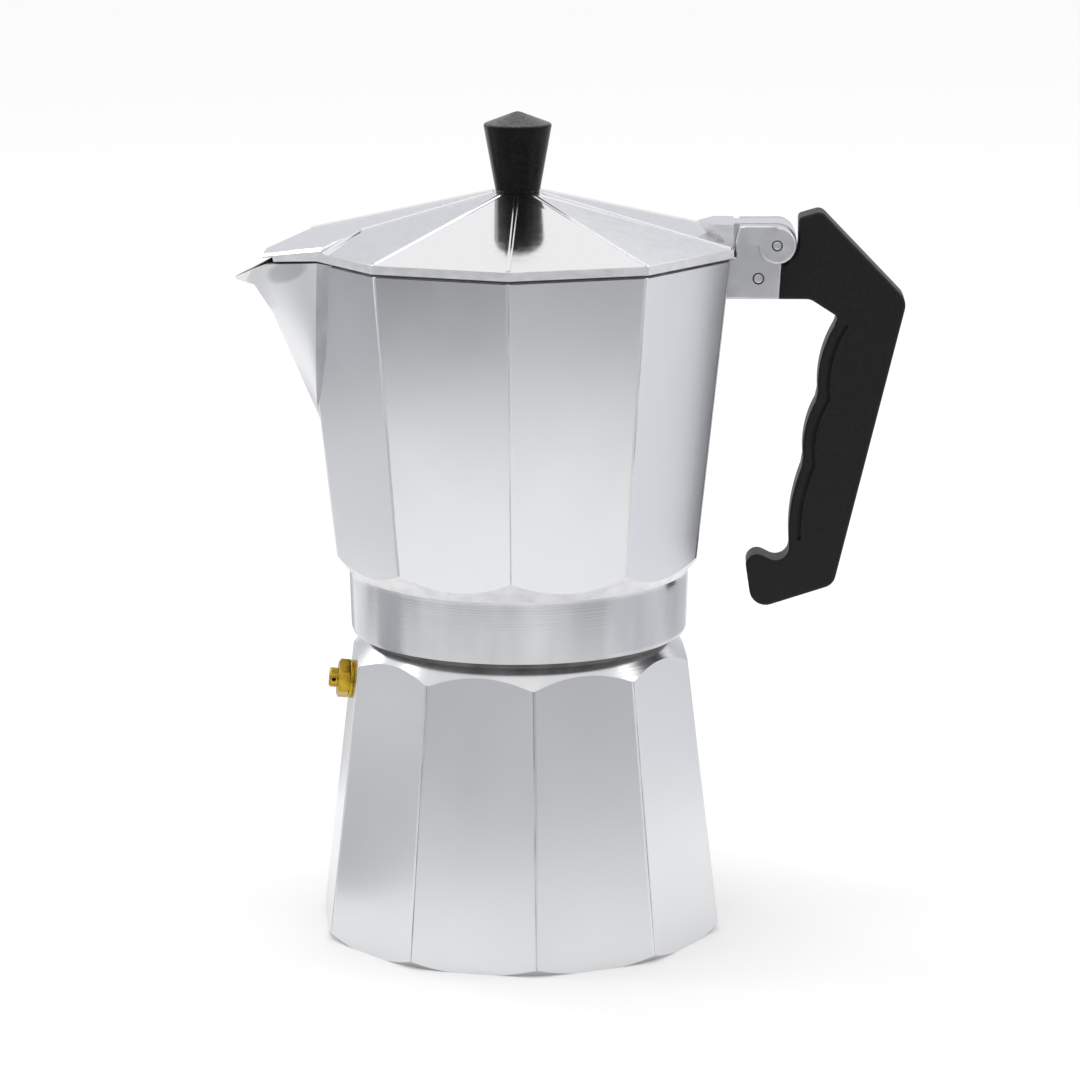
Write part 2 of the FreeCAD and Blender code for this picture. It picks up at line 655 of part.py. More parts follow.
def above_plane(first, second, third):
    """Large block that stands on the plane through three points."""
    upwards = (second - first).cross(third - first)
    if upwards.z < 0:
        upwards = -upwards
    block = Part.makeBox(
        2 * LID_RADIUS,
        2 * LID_RADIUS,
        LID_RADIUS,
        FreeCAD.Vector(-LID_RADIUS, -LID_RADIUS, 0),
    )
    turn = FreeCAD.Rotation(FreeCAD.Vector(0, 0, 1), upwards)
    block.Placement = FreeCAD.Placement(first, turn)
    return block


def make_cover(plate_bottom):
    """Spout cover: the lid's facet carried on over the spout, with a wing folded down beside each hip."""
    side_angle = 2 * math.pi / SIDES
    corner_y = (LID_SIDE - COVER_CORNER_X * math.cos(side_angle)) / math.sin(side_angle)
    inner_y = COVER_INNER_X * math.tan(math.pi / SIDES)
    plan = [
        (-COVER_CORNER_X, -corner_y),
        (-COVER_INNER_X, -inner_y),
        (-COVER_INNER_X, inner_y),
        (-COVER_CORNER_X, corner_y),
        (-COVER_TIP_X, COVER_TIP_HALF),
        (-COVER_TIP_X, -COVER_TIP_HALF),
    ]
    slab = side_plate([
        (-COVER_TIP_X, lid_height(-COVER_TIP_X)),
        (-COVER_INNER_X, lid_height(-COVER_INNER_X)),
        (-COVER_INNER_X, lid_height(-COVER_INNER_X) - plate_bottom),
        (-COVER_TIP_X, lid_height(-COVER_TIP_X) - plate_bottom),
    ], -LID_RADIUS, LID_RADIUS)
    cover = plan_plate(plan, RIM - LID_RADIUS, KNOB_SEAT).common(slab)
    apex = FreeCAD.Vector(0, 0, KNOB_SEAT + LID_SLOPE * KNOB_SEAT_RADIUS)
    hip_y = LID_SIDE * math.tan(math.pi / SIDES)
    for side in (-1, 1):
        hip = FreeCAD.Vector(-LID_SIDE, side * hip_y, LID_EDGE)
        wing = FreeCAD.Vector(-COVER_CORNER_X, side * corner_y, LID_EDGE + COVER_WING_RISE)
        cover = cover.cut(above_plane(hip, apex, wing))
    return cover


def tab_outline(back, z):
    """Pointed outline of the hinge tab's boss at a height, with its front that far back."""
    corners = [
        (TAB_FRONT_X + back, 0),
        (TAB_SHOULDER_X + back, -TAB_HALF_WIDTH),
        (LID_SIDE, -TAB_HALF_WIDTH),
        (LID_SIDE, TAB_HALF_WIDTH),
        (TAB_SHOULDER_X + back, TAB_HALF_WIDTH),
        (TAB_FRONT_X + back, 0),
    ]
    return Part.makePolygon([FreeCAD.Vector(x, y, z) for x, y in corners])


def make_tab():
    """Hinge tab: a flat-topped, undercut boss on the lid and a tongue to the barrel round the pin."""
    top = HINGE + TAB_RADIUS
    bottom = RIM + TAB_UNDERSIDE
    boss = Part.makeLoft([tab_outline(TAB_UNDERCUT, bottom), tab_outline(0, top)], True, True)
    half = HALF_GAP - MOVING_GAP
    tongue = Part.makeBox(
        HINGE_X - TAB_SHOULDER_X,
        2 * half,
        top - bottom,
        FreeCAD.Vector(TAB_SHOULDER_X, -half, bottom),
    )
    barrel = cross_cylinder(TAB_RADIUS, HINGE_X, HINGE, half)
    return boss.fuse([tongue, barrel])


def make_lid():
    roof = faceted([
        (LID_RADIUS - RIM_EDGE, RIM),
        (LID_RADIUS, RIM + RIM_EDGE),
        (LID_RADIUS, LID_EDGE),
        (KNOB_SEAT_RADIUS, KNOB_SEAT),
    ])
    inside_radius = RIM_RADIUS - COLLECTOR_WALL / 2
    inside_seat = KNOB_SEAT - LID_THICKNESS
    inside_edge = inside_seat - LID_SLOPE * (inside_radius - KNOB_WASHER_RADIUS - LID_THICKNESS)
    hollow = faceted([
        (inside_radius, RIM),
        (inside_radius, inside_edge),
        (KNOB_WASHER_RADIUS + LID_THICKNESS, inside_seat),
    ])
    cover_block = make_cover(LID_RADIUS)
    cover_block = cover_block.common(Part.makeBox(
        LID_RADIUS * 2,
        LID_RADIUS * 2,
        LID_RADIUS,
        FreeCAD.Vector(-2 * LID_RADIUS, -LID_RADIUS, RIM),
    ))
    roof = roof.fuse([cover_block, make_cover(COVER_THICKNESS)]).cut(hollow)
    lid = roof.fuse(make_tab())
    screw_hole = cylinder(KNOB_SCREW_RADIUS + RUNNING_FIT, RIM, KNOB_SEAT)
    pin_hole = cross_cylinder(HINGE_PIN_RADIUS + RUNNING_FIT, HINGE_X, HINGE, HALF_GAP)
    return lid.cut(screw_hole).cut(pin_hole).removeSplitter()


# Knob

LID_INSIDE = KNOB_SEAT - LID_THICKNESS
WASHER_BOTTOM = LID_INSIDE - KNOB_WASHER_THICKNESS
SCREW_TIP = KNOB_SEAT + KNOB_SCREW_GRIP


def make_knob():
    body = turned([
        (0, KNOB_SEAT),
        (KNOB_BASE_RADIUS, KNOB_SEAT),
        (KNOB_RIM_RADIUS, KNOB_SEAT + KNOB_RIM_RISE),
        (0, KNOB_SEAT + KNOB_RIM_RISE + KNOB_CONE_RISE),
    ])
    return body.cut(cylinder(KNOB_SCREW_RADIUS, KNOB_SEAT, SCREW_TIP))


def make_knob_washer():
    return tube(KNOB_WASHER_RADIUS, KNOB_SCREW_RADIUS + RUNNING_FIT, WASHER_BOTTOM, LID_INSIDE)


def make_knob_screw():
    head = cylinder(KNOB_SCREW_HEAD_RADIUS, WASHER_BOTTOM - KNOB_SCREW_HEAD_HEIGHT, WASHER_BOTTOM)
    shank = cylinder(KNOB_SCREW_RADIUS, WASHER_BOTTOM, SCREW_TIP)
    return head.fuse(shank).removeSplitter()


# Handle

def handle_point(corner):
    return FreeCAD.Vector(HINGE_X + corner[0], -HALF_GAP, RIM + corner[1])


def make_handle_outline():
    """Closed outline of the handle: tongue, pocket round the lid's barrel, back, hook and swells."""
    tongue_x = RIM_SIDE + HANDLE_TONGUE_GAP - HINGE_X
    pocket = TAB_RADIUS + SWING_GAP
    tongue_top = HINGE_RISE - pocket
    peak = handle_point(HANDLE_PEAK)
    front_rise = HANDLE_PEAK[1] - HANDLE_FRONT_SLOPE * (HANDLE_PEAK[0] - pocket)
    slant = pocket * math.sqrt(0.5)
    front_top = handle_point((pocket, front_rise))
    front_low = handle_point((pocket, HINGE_RISE))
    pocket_middle = handle_point((slant, HINGE_RISE - slant))
    pocket_end = handle_point((0, tongue_top))
    tongue_high = handle_point((tongue_x, tongue_top))
    tongue_low = handle_point((tongue_x, HANDLE_UNDERSIDE))
    bend = handle_point(HANDLE_BEND)
    corner = handle_point(HANDLE_CORNER)
    swells = [handle_point(p) for p in SWELL_ENDS]
    crests = [handle_point(p) for p in SWELL_CRESTS]
    rounded = [
        (handle_point(HOOK_DIP), HOOK_DIP_RADIUS),
        (handle_point(HOOK_TOP), HOOK_TOP_RADIUS),
        (handle_point(HOOK_TOE), HOOK_TOE_RADIUS),
        (handle_point(HANDLE_HEEL), HANDLE_HEEL_RADIUS),
        (handle_point(HANDLE_SHOULDER), HANDLE_SHOULDER_RADIUS),
        (peak, HANDLE_PEAK_RADIUS),
    ]
    edges = [
        Part.makeLine(front_top, front_low),
        Part.Arc(front_low, pocket_middle, pocket_end).toShape(),
        Part.makeLine(pocket_end, tongue_high),
        Part.makeLine(tongue_high, tongue_low),
    ]
    first, middle, last = rounded_corner(tongue_low, bend, corner, HANDLE_BEND_RADIUS)
    edges.append(Part.makeLine(tongue_low, first))
    edges.append(Part.Arc(first, middle, last).toShape())
    edges.append(Part.makeLine(last, corner))
    edges.append(Part.makeLine(corner, swells[0]))
    for start, crest, end in zip(swells, crests, swells[1:]):
        edges.append(Part.Arc(start, crest, end).toShape())
    place = swells[-1]
    path = [place] + [p for p, radius in rounded] + [front_top]
    for number, (turn, radius) in enumerate(rounded):
        first, middle, last = rounded_corner(path[number], turn, path[number + 2], radius)
        edges.append(Part.makeLine(place, first))
        edges.append(Part.Arc(first, middle, last).toShape())
        place = last
    edges.append(Part.makeLine(place, front_top))
    return Part.Wire(edges)


def is_upright(edge):
    """True for an edge along Y, through the handle's thickness."""
    return edge.BoundBox.YLength > CHEEK_GAP - RUNNING_FIT


def at(edge, corner):
    """True for an edge that passes through a corner of the handle's outline."""
    target = handle_point(corner)
    box = edge.BoundBox
    return abs(box.XMin - target.x) < RUNNING_FIT and abs(box.ZMin - target.z) < RUNNING_FIT


def is_grip_rim(edge):
    """True for an edge of the handle's two sides, except round the tongue and the barrel's pocket."""
    box = edge.BoundBox
    on_side = box.YLength < RUNNING_FIT
    below = box.ZMax < RIM + HANDLE_UNDERSIDE + RUNNING_FIT
    behind = box.XMin > HINGE_X + TAB_RADIUS and box.XLength > RUNNING_FIT
    return on_side and (below or behind)


def make_handle():
    body = Part.Face(make_handle_outline()).extrude(ACROSS * CHEEK_GAP)
    notches = (HANDLE_CORNER,) + SWELL_ENDS[:3]
    valleys = [e for e in body.Edges if is_upright(e) and any(at(e, c) for c in notches)]
    body = body.makeFillet(HANDLE_CORNER_RADIUS, valleys)
    body = body.makeFillet(HANDLE_ROUND, [e for e in body.Edges if is_grip_rim(e)])
    pin_hole = cross_cylinder(HANDLE_PIN_RADIUS, HANDLE_PIN_X, RIM - HANDLE_PIN_DROP, CHEEK_OUTER)
    return body.cut(pin_hole)


PIECES = {
    "boiler": make_boiler,
    "valve_body": make_valve_body,
    "valve_washer": make_valve_washer,
    "valve_cap": make_valve_cap,
    "valve_pin": make_valve_pin,
    "valve_spring": make_valve_spring,
    "funnel_basket": make_funnel_basket,
    "funnel_tube": make_funnel_tube,
    "funnel_screen": make_funnel_screen,
    "gasket": make_gasket,
    "filter_plate": make_filter_plate,
    "collector": make_collector,
    "column": make_column,
    "hinge_pin": make_hinge_pin,
    "handle_pin": make_handle_pin,
    "handle": make_handle,
    "lid": make_lid,
    "knob": make_knob,
    "knob_washer": make_knob_washer,
    "knob_screw": make_knob_screw,
}

os.makedirs("parts", exist_ok=True)
for name, make in PIECES.items():
    shape = make()
    solids = len(shape.Solids)
    print(name, "solids", solids, "volume", round(shape.Volume), "valid", shape.isValid())
    shape.exportStep("parts/" + name + ".step")
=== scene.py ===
# %% [markdown]
# A ten-sided stovetop coffee maker in cast aluminium, with a black handle and knob.
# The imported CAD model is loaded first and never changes: it is the frame that every new piece sits on.
# Each visible piece is then modelled again with softened edges, because a sharp CAD edge catches no light.

# %% Load the frame
import bpy
import math
from mathutils import Matrix, Vector


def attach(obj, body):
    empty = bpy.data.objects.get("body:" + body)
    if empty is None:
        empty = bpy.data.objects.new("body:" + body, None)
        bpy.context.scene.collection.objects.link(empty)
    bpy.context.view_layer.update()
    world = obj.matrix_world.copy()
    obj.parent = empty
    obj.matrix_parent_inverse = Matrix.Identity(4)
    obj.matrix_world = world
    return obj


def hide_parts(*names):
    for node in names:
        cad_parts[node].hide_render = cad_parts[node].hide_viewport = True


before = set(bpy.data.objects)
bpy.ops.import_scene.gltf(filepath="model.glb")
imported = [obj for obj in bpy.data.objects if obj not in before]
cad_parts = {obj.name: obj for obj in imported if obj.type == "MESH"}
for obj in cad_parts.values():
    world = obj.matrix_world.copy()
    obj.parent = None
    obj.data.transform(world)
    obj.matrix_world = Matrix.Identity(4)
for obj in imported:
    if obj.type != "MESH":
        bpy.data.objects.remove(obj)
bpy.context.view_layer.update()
MM = 0.001
print("nodes", sorted(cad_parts))

# %% [markdown]
# The camera stands 1.2 m away, higher than the lid, and looks down by about 12 degrees.
# A long lens keeps the pot's sides almost straight, as in a catalogue picture.

# %% Camera
CAMERA_PLACE = (0.04957, -1.1856, 0.3641)
CAMERA_TURN = 2.112
CAMERA_DOWN = 12.158
CAMERA_ROLL = 0.117
CAMERA_LENS = 146.35
CAMERA_SENSOR = 36.0

camera_data = bpy.data.cameras.new("camera")
camera_data.sensor_fit = "HORIZONTAL"
camera_data.sensor_width = CAMERA_SENSOR
camera_data.lens = CAMERA_LENS
camera = bpy.data.objects.new("camera", camera_data)
bpy.context.scene.collection.objects.link(camera)
turn = Matrix.Rotation(math.radians(CAMERA_TURN), 3, "Z")
tip = Matrix.Rotation(math.radians(90 - CAMERA_DOWN), 3, "X")
roll = Matrix.Rotation(math.radians(-CAMERA_ROLL), 3, "Z")
camera.location = CAMERA_PLACE
camera.rotation_euler = (turn @ tip @ roll).to_euler()
bpy.context.scene.camera = camera
bpy.context.scene.view_settings.view_transform = "Standard"
print("camera at", tuple(camera.location))

# %% [markdown]
# Every modelling step below works as by hand: deselect all, add a primitive, go into edit mode,
# pick edges by their place, and run an operator on them. These few helpers select a piece, name a new
# primitive, pick edges and close a mesh, so that each piece's own cell stays short.

# %% Selecting and closing a piece
def only(piece):
    """Makes one piece the only selected and active object."""
    bpy.ops.object.select_all(action="DESELECT")
    piece.select_set(True)
    bpy.context.view_layer.objects.active = piece


def begin(name, finishes):
    """Names the primitive that was just added, puts its place into its mesh and gives it its finishes."""
    piece = bpy.context.object
    piece.name = name
    piece.data.name = name
    only(piece)
    bpy.ops.object.transform_apply(location=True, rotation=True, scale=True)
    for finish in finishes:
        piece.data.materials.append(finish)
    return piece


def pick_edges(piece, test):
    """Opens edit mode with those edges selected whose two ends pass a test."""
    only(piece)
    bpy.ops.object.mode_set(mode="EDIT")
    bpy.ops.mesh.select_mode(type="EDGE")
    bpy.ops.mesh.select_all(action="DESELECT")
    bpy.ops.object.mode_set(mode="OBJECT")
    places = [vertex.co for vertex in piece.data.vertices]
    for edge in piece.data.edges:
        edge.select = test(places[edge.vertices[0]], places[edge.vertices[1]])
    bpy.ops.object.mode_set(mode="EDIT")


def done(piece):
    """Merges doubles, turns the faces outwards and leaves edit mode."""
    only(piece)
    bpy.ops.object.mode_set(mode="EDIT")
    bpy.ops.mesh.select_all(action="SELECT")
    bpy.ops.mesh.remove_doubles(threshold=1e-6)
    bpy.ops.mesh.normals_make_consistent(inside=False)
    bpy.ops.object.mode_set(mode="OBJECT")
    return piece

# %% [markdown]
# A turned piece starts as a disc that is extruded upwards and resized at each level, so a list of radii and
# heights is all it needs. With ten corners instead of many, the same steps make a ten-sided piece.

# %% Turned and many-sided solids
def lathe(name, steps, finishes, sides=160, finish=0, turn=0.0):
    """Turned or many-sided solid: a disc at the first (radius, z), extruded and resized level by level."""
    radius, z = steps[0]
    bpy.ops.object.select_all(action="DESELECT")
    bpy.ops.mesh.primitive_circle_add(
        vertices=sides, radius=radius * MM, fill_type="NGON",
        location=(0, 0, z * MM), rotation=(0, 0, math.radians(turn)))
    piece = begin(name, finishes)
    bpy.ops.object.mode_set(mode="EDIT")
    bpy.ops.mesh.select_all(action="SELECT")
    for (radius, z), (next_radius, next_z) in zip(steps, steps[1:]):
        bpy.ops.mesh.extrude_region_move(TRANSFORM_OT_translate={"value": (0, 0, (next_z - z) * MM)})
        grow = max(next_radius, 1e-4) / max(radius, 1e-4)
        bpy.ops.transform.resize(value=(grow, grow, 1), center_override=(0, 0, next_z * MM))
    bpy.ops.object.mode_set(mode="OBJECT")
    for face in piece.data.polygons:
        face.material_index = finish
    return done(piece)

# %% [markdown]
# Solids are joined and cut with Booleans. The edges that stay sharp are rounded a little afterwards, with a
# Bevel modifier on all of them or a bevel in edit mode on a few.

# %% Booleans and rounded edges
def combine(piece, tool, operation):
    """Boolean of two solids: the tool is used up."""
    modifier = piece.modifiers.new("boolean", "BOOLEAN")
    modifier.operation = operation
    modifier.solver = "EXACT"
    modifier.object = tool
    only(piece)
    bpy.ops.object.modifier_apply(modifier=modifier.name)
    bpy.data.objects.remove(tool)
    return piece


def soften(piece, width, segments=2, angle=30):
    """Rounds the remaining sharp edges and shades the piece smooth with flat faces kept flat."""
    only(piece)
    modifier = piece.modifiers.new("edges", "BEVEL")
    modifier.width = width * MM
    modifier.segments = segments
    modifier.limit_method = "ANGLE"
    modifier.angle_limit = math.radians(angle)
    modifier.use_clamp_overlap = True
    bpy.ops.object.modifier_apply(modifier=modifier.name)
    bpy.ops.object.shade_smooth_by_angle(angle=math.radians(angle))
    modifier = piece.modifiers.new("flat", "WEIGHTED_NORMAL")
    modifier.keep_sharp = True
    bpy.ops.object.modifier_apply(modifier=modifier.name)
    print(piece.name, "faces", len(piece.data.polygons))
    return piece


def round_edges(piece, width, segments, test):
    """Bevels chosen edges in edit mode."""
    pick_edges(piece, test)
    bpy.ops.mesh.bevel(offset=width * MM, segments=segments, affect="EDGES", clamp_overlap=True)
    bpy.ops.object.mode_set(mode="OBJECT")
    return piece

# %% [markdown]
# Every finish is one Principled shader, whose colour, roughness and bump come from noise stretched the way
# the tool ran. The noise is laid on Object coordinates, so it keeps its real size on every piece. These
# helpers make the shader, the noise, and the maps from noise to a value, a colour or a relief.

# %% Shader helpers
def new_finish(name, color, metallic, roughness):
    """A Principled material and its node tree, shader and object coordinates."""
    finish = bpy.data.materials.new(name)
    finish.use_nodes = True
    tree = finish.node_tree
    shader = tree.nodes["Principled BSDF"]
    shader.inputs["Base Color"].default_value = (*color, 1)
    shader.inputs["Metallic"].default_value = metallic
    shader.inputs["Roughness"].default_value = roughness
    place = tree.nodes.new("ShaderNodeTexCoord").outputs["Object"]
    return finish, tree, shader, place


def grain(tree, place, stretch, detail):
    """Noise stretched along the axes, in cycles per metre."""
    mapping = tree.nodes.new("ShaderNodeMapping")
    mapping.inputs["Scale"].default_value = stretch
    noise = tree.nodes.new("ShaderNodeTexNoise")
    noise.inputs["Scale"].default_value = 1.0
    noise.inputs["Detail"].default_value = detail
    tree.links.new(place, mapping.inputs["Vector"])
    tree.links.new(mapping.outputs["Vector"], noise.inputs["Vector"])
    return noise.outputs["Fac"]


def spread(tree, value, low, high, start=0.3, end=0.7):
    """Maps a noise value to a range."""
    span = tree.nodes.new("ShaderNodeMapRange")
    span.inputs["From Min"].default_value = start
    span.inputs["From Max"].default_value = end
    span.inputs["To Min"].default_value = low
    span.inputs["To Max"].default_value = high
    tree.links.new(value, span.inputs["Value"])
    return span.outputs["Result"]


def tint(tree, value, dark, light, start=0.3, end=0.7):
    """Maps a noise value to a colour between two."""
    ramp = tree.nodes.new("ShaderNodeValToRGB")
    ramp.color_ramp.elements[0].position = start
    ramp.color_ramp.elements[0].color = (*dark, 1)
    ramp.color_ramp.elements[1].position = end
    ramp.color_ramp.elements[1].color = (*light, 1)
    tree.links.new(value, ramp.inputs["Fac"])
    return ramp.outputs["Color"]


def mixed(tree, share, first, second):
    """Mixes two colours: all of the first at a share of 0, all of the second at 1."""
    mix = tree.nodes.new("ShaderNodeMix")
    mix.data_type = "RGBA"
    tree.links.new(share, mix.inputs["Factor"])
    tree.links.new(first, mix.inputs["A"])
    tree.links.new(second, mix.inputs["B"])
    return mix.outputs["Result"]


def climb(tree, place, low, high):
    """A share that goes from 0 at one height in mm to 1 at another."""
    axes = tree.nodes.new("ShaderNodeSeparateXYZ")
    tree.links.new(place, axes.inputs["Vector"])
    return spread(tree, axes.outputs["Z"], 0.0, 1.0, low * MM, high * MM)


def relief(tree, shader, layers):
    """Stacks bumps, each (height value, strength, distance in mm), onto the shader's normal."""
    normal = None
    for height, strength, distance in layers:
        bump = tree.nodes.new("ShaderNodeBump")
        bump.inputs["Strength"].default_value = strength
        bump.inputs["Distance"].default_value = distance * MM
        tree.links.new(height, bump.inputs["Height"])
        if normal is not None:
            tree.links.new(normal, bump.inputs["Normal"])
        normal = bump.outputs["Normal"]
    tree.links.new(normal, shader.inputs["Normal"])

# %% [markdown]
# The pot's flat sides are satin with a fine upright grain, the collar and the shoulder are turned bright on a
# lathe, and the lid is polished. Their roughness stays low, so that they mirror the paper and the cards softly.

# %% Satin, turned and polished aluminium
DULL_TOP, BRIGHT_FOOT = 100.2, 101.6


def satin_sides():
    """Brushed upright and a little cloudy, like the flat sides."""
    finish, tree, shader, place = new_finish("satin_sides", (0.755, 0.76, 0.77), 1.0, 0.24)
    fine = grain(tree, place, (3600, 3600, 3200), 2)
    brushed = grain(tree, place, (2400, 2400, 60), 3)
    cloud = grain(tree, place, (34, 34, 22), 3)
    tree.links.new(tint(tree, fine, (0.735, 0.74, 0.75), (0.78, 0.785, 0.795)), shader.inputs["Base Color"])
    tree.links.new(spread(tree, cloud, 0.21, 0.265), shader.inputs["Roughness"])
    relief(tree, shader, [(brushed, 0.03, 0.1), (fine, 0.05, 0.06)])
    return finish


def turned(name, dark, light, dull=None):
    """Lathe finish: fine rings in the relief, soft upright bands in the tone. A dull pair of colours
    takes over softly below the scalloped foot, where the collar is gripped and rubbed."""
    finish, tree, shader, place = new_finish(name, light, 1.0, 0.2)
    rings = grain(tree, place, (14, 14, 2600), 2)
    bands = grain(tree, place, (75, 75, 6), 2)
    blotch = grain(tree, place, (60, 60, 60), 3)
    colour = tint(tree, bands, dark, light)
    if dull:
        cloud = grain(tree, place, (70, 70, 14), 3)
        rubbed = tint(tree, cloud, dull[0], dull[1], 0.34, 0.66)
        colour = mixed(tree, climb(tree, place, DULL_TOP, BRIGHT_FOOT), rubbed, colour)
    tree.links.new(colour, shader.inputs["Base Color"])
    tree.links.new(spread(tree, blotch, 0.15, 0.24), shader.inputs["Roughness"])
    relief(tree, shader, [(rings, 0.12, 0.15)])
    return finish


def polished():
    """Buffed bright, with the faint waves that buffing leaves."""
    finish, tree, shader, place = new_finish("polished", (0.82, 0.822, 0.832), 1.0, 0.1)
    swirl = grain(tree, place, (300, 300, 300), 4)
    wave = grain(tree, place, (55, 55, 55), 2)
    fine = grain(tree, place, (1800, 1800, 1800), 2)
    tree.links.new(spread(tree, swirl, 0.07, 0.13), shader.inputs["Roughness"])
    tree.links.new(tint(tree, fine, (0.80, 0.802, 0.812), (0.84, 0.842, 0.852)), shader.inputs["Base Color"])
    relief(tree, shader, [(wave, 0.03, 0.6), (fine, 0.03, 0.05)])
    return finish

# %% [markdown]
# Not all of a casting is polished: its inside stays pitted, narrow edges are filed, crevices such as the gap
# under the collar get painted shade, and the hinge cheeks stay as they left the mould. These finishes are
# rougher and mirror little.

# %% Rough, filed and cast aluminium, and painted shade
def rough_inside():
    """Pitted and a little discoloured, like the inside of a casting."""
    finish, tree, shader, place = new_finish("rough_inside", (0.66, 0.66, 0.66), 1.0, 0.45)
    pits = grain(tree, place, (700, 700, 700), 3)
    stain_and_shade_mottle = grain(tree, place, (40, 40, 40), 3)
    tree.links.new(tint(tree, stain_and_shade_mottle, (0.58, 0.575, 0.56), (0.72, 0.72, 0.72)), shader.inputs["Base Color"])
    tree.links.new(spread(tree, pits, 0.38, 0.55), shader.inputs["Roughness"])
    relief(tree, shader, [(pits, 0.15, 0.2)])
    return finish


def cast_edge():
    """Narrow edges that were dressed with a file: paler and rougher than the faces beside them."""
    finish, tree, shader, place = new_finish("cast_edge", (0.85, 0.853, 0.862), 1.0, 0.45)
    marks = grain(tree, place, (420, 420, 900), 3)
    chips = grain(tree, place, (240, 240, 320), 3)
    tree.links.new(tint(tree, chips, (0.76, 0.76, 0.77), (0.88, 0.882, 0.89)), shader.inputs["Base Color"])
    tree.links.new(spread(tree, marks, 0.38, 0.52), shader.inputs["Roughness"])
    relief(tree, shader, [(marks, 0.12, 0.12)])
    return finish


def painted_crevice_shade():
    """Painted shade for crevices: under the collar, in the lid's undercut, in the spout's channel and round the
    pins. Dull and dark.
    """
    finish, tree, shader, place = new_finish("painted_crevice_shade", (0.16, 0.155, 0.15), 1.0, 0.55)
    stain_and_shade_mottle = grain(tree, place, (160, 160, 300), 3)
    tree.links.new(tint(tree, stain_and_shade_mottle, (0.11, 0.105, 0.1), (0.22, 0.215, 0.21)), shader.inputs["Base Color"])
    tree.links.new(spread(tree, stain_and_shade_mottle, 0.48, 0.62), shader.inputs["Roughness"])
    relief(tree, shader, [(stain_and_shade_mottle, 0.1, 0.15)])
    return finish


def sand_cast(name, dark, light):
    """Left as it came from the mould: greyer and more even than the brushed sides. Its darker flare copy is
    painted shade.
    """
    finish, tree, shader, place = new_finish(name, light, 1.0, 0.36)
    sand = grain(tree, place, (1500, 1500, 1500), 3)
    cloud = grain(tree, place, (160, 160, 160), 3)
    tree.links.new(tint(tree, cloud, dark, light), shader.inputs["Base Color"])
    tree.links.new(spread(tree, sand, 0.32, 0.42), shader.inputs["Roughness"])
    relief(tree, shader, [(sand, 0.08, 0.08)])
    return finish

# %% [markdown]
# The spout is ground by hand after casting, and the pot's corners carry a dark line along their middle.
# Both marks are too fine to model, so they are drawn by the shader and by thin strips of faces.

# %% Ground spout and dull corners
PATCH_MIDDLE = (-62.0, -14.3, 185.4)
PATCH_ALONG, PATCH_LENGTH = (0.594, -0.751, 0.287), 12.0
PATCH_UP, PATCH_HEIGHT = (-0.178, 0.225, 0.958), 3.0


def ground_spout():
    """The spout's sides are ground pale and even. An oval patch under the near rim was ground once more
    and stayed duller: two dot products measure along and across it, and their squares make the oval."""
    finish, tree, shader, place = new_finish("ground_spout", (0.81, 0.812, 0.82), 1.0, 0.34)
    fine = grain(tree, place, (2600, 2600, 2600), 2)
    away = tree.nodes.new("ShaderNodeVectorMath")
    away.operation = "SUBTRACT"
    away.inputs[1].default_value = Vector(PATCH_MIDDLE) * MM
    tree.links.new(place, away.inputs[0])
    total = None
    for direction, reach in ((PATCH_ALONG, PATCH_LENGTH), (PATCH_UP, PATCH_HEIGHT)):
        dot = tree.nodes.new("ShaderNodeVectorMath")
        dot.operation = "DOT_PRODUCT"
        dot.inputs[1].default_value = Vector(direction) / (reach * MM)
        tree.links.new(away.outputs["Vector"], dot.inputs[0])
        square = tree.nodes.new("ShaderNodeMath")
        square.operation = "MULTIPLY_ADD"
        square.inputs[2].default_value = 0.0
        tree.links.new(dot.outputs["Value"], square.inputs[0])
        tree.links.new(dot.outputs["Value"], square.inputs[1])
        if total is not None:
            tree.links.new(total, square.inputs[2])
        total = square.outputs["Value"]
    pale = tint(tree, fine, (0.79, 0.792, 0.80), (0.83, 0.832, 0.84))
    duller = tint(tree, fine, (0.56, 0.56, 0.57), (0.63, 0.63, 0.64))
    within = spread(tree, total, 1.0, 0.0, 0.5, 1.1)
    tree.links.new(mixed(tree, within, pale, duller), shader.inputs["Base Color"])
    tree.links.new(spread(tree, fine, 0.3, 0.38), shader.inputs["Roughness"])
    relief(tree, shader, [(fine, 0.05, 0.06)])
    return finish


def dull_corner(name, dark, light):
    """A dark line along the middle of a rounded corner, darker in some places than in others."""
    finish, tree, shader, place = new_finish(name, light, 1.0, 0.36)
    corner_tone = grain(tree, place, (60, 60, 60), 4)
    tree.links.new(tint(tree, corner_tone, dark, light, 0.36, 0.64), shader.inputs["Base Color"])
    tree.links.new(spread(tree, corner_tone, 0.32, 0.42), shader.inputs["Roughness"])
    return finish

# %% [markdown]
# All cast pieces share one list of finishes, so that a Boolean can carry each face's finish from its tool to
# the piece. A face names its finish by its place in the list.

# %% Finishes of the cast pieces
CAST = [
    satin_sides(),
    turned("turned_bright", (0.61, 0.615, 0.63), (0.73, 0.735, 0.745)),
    polished(),
    rough_inside(),
    turned("turned_collar", (0.70, 0.705, 0.715), (0.80, 0.804, 0.81),
           dull=((0.48, 0.486, 0.50), (0.62, 0.626, 0.64))),
    cast_edge(),
    painted_crevice_shade(),
    sand_cast("sand_cast", (0.60, 0.60, 0.615), (0.70, 0.70, 0.715)),
    ground_spout(),
    dull_corner("boiler_corner", (0.28, 0.28, 0.29), (0.62, 0.62, 0.63)),
    dull_corner("upper_pot_corner", (0.50, 0.50, 0.51), (0.76, 0.76, 0.77)),
    # The flare's copy is darker: painted shade along the crease beside the spout.
    sand_cast("flare_painted_shade", (0.46, 0.46, 0.475), (0.56, 0.56, 0.575)),
]
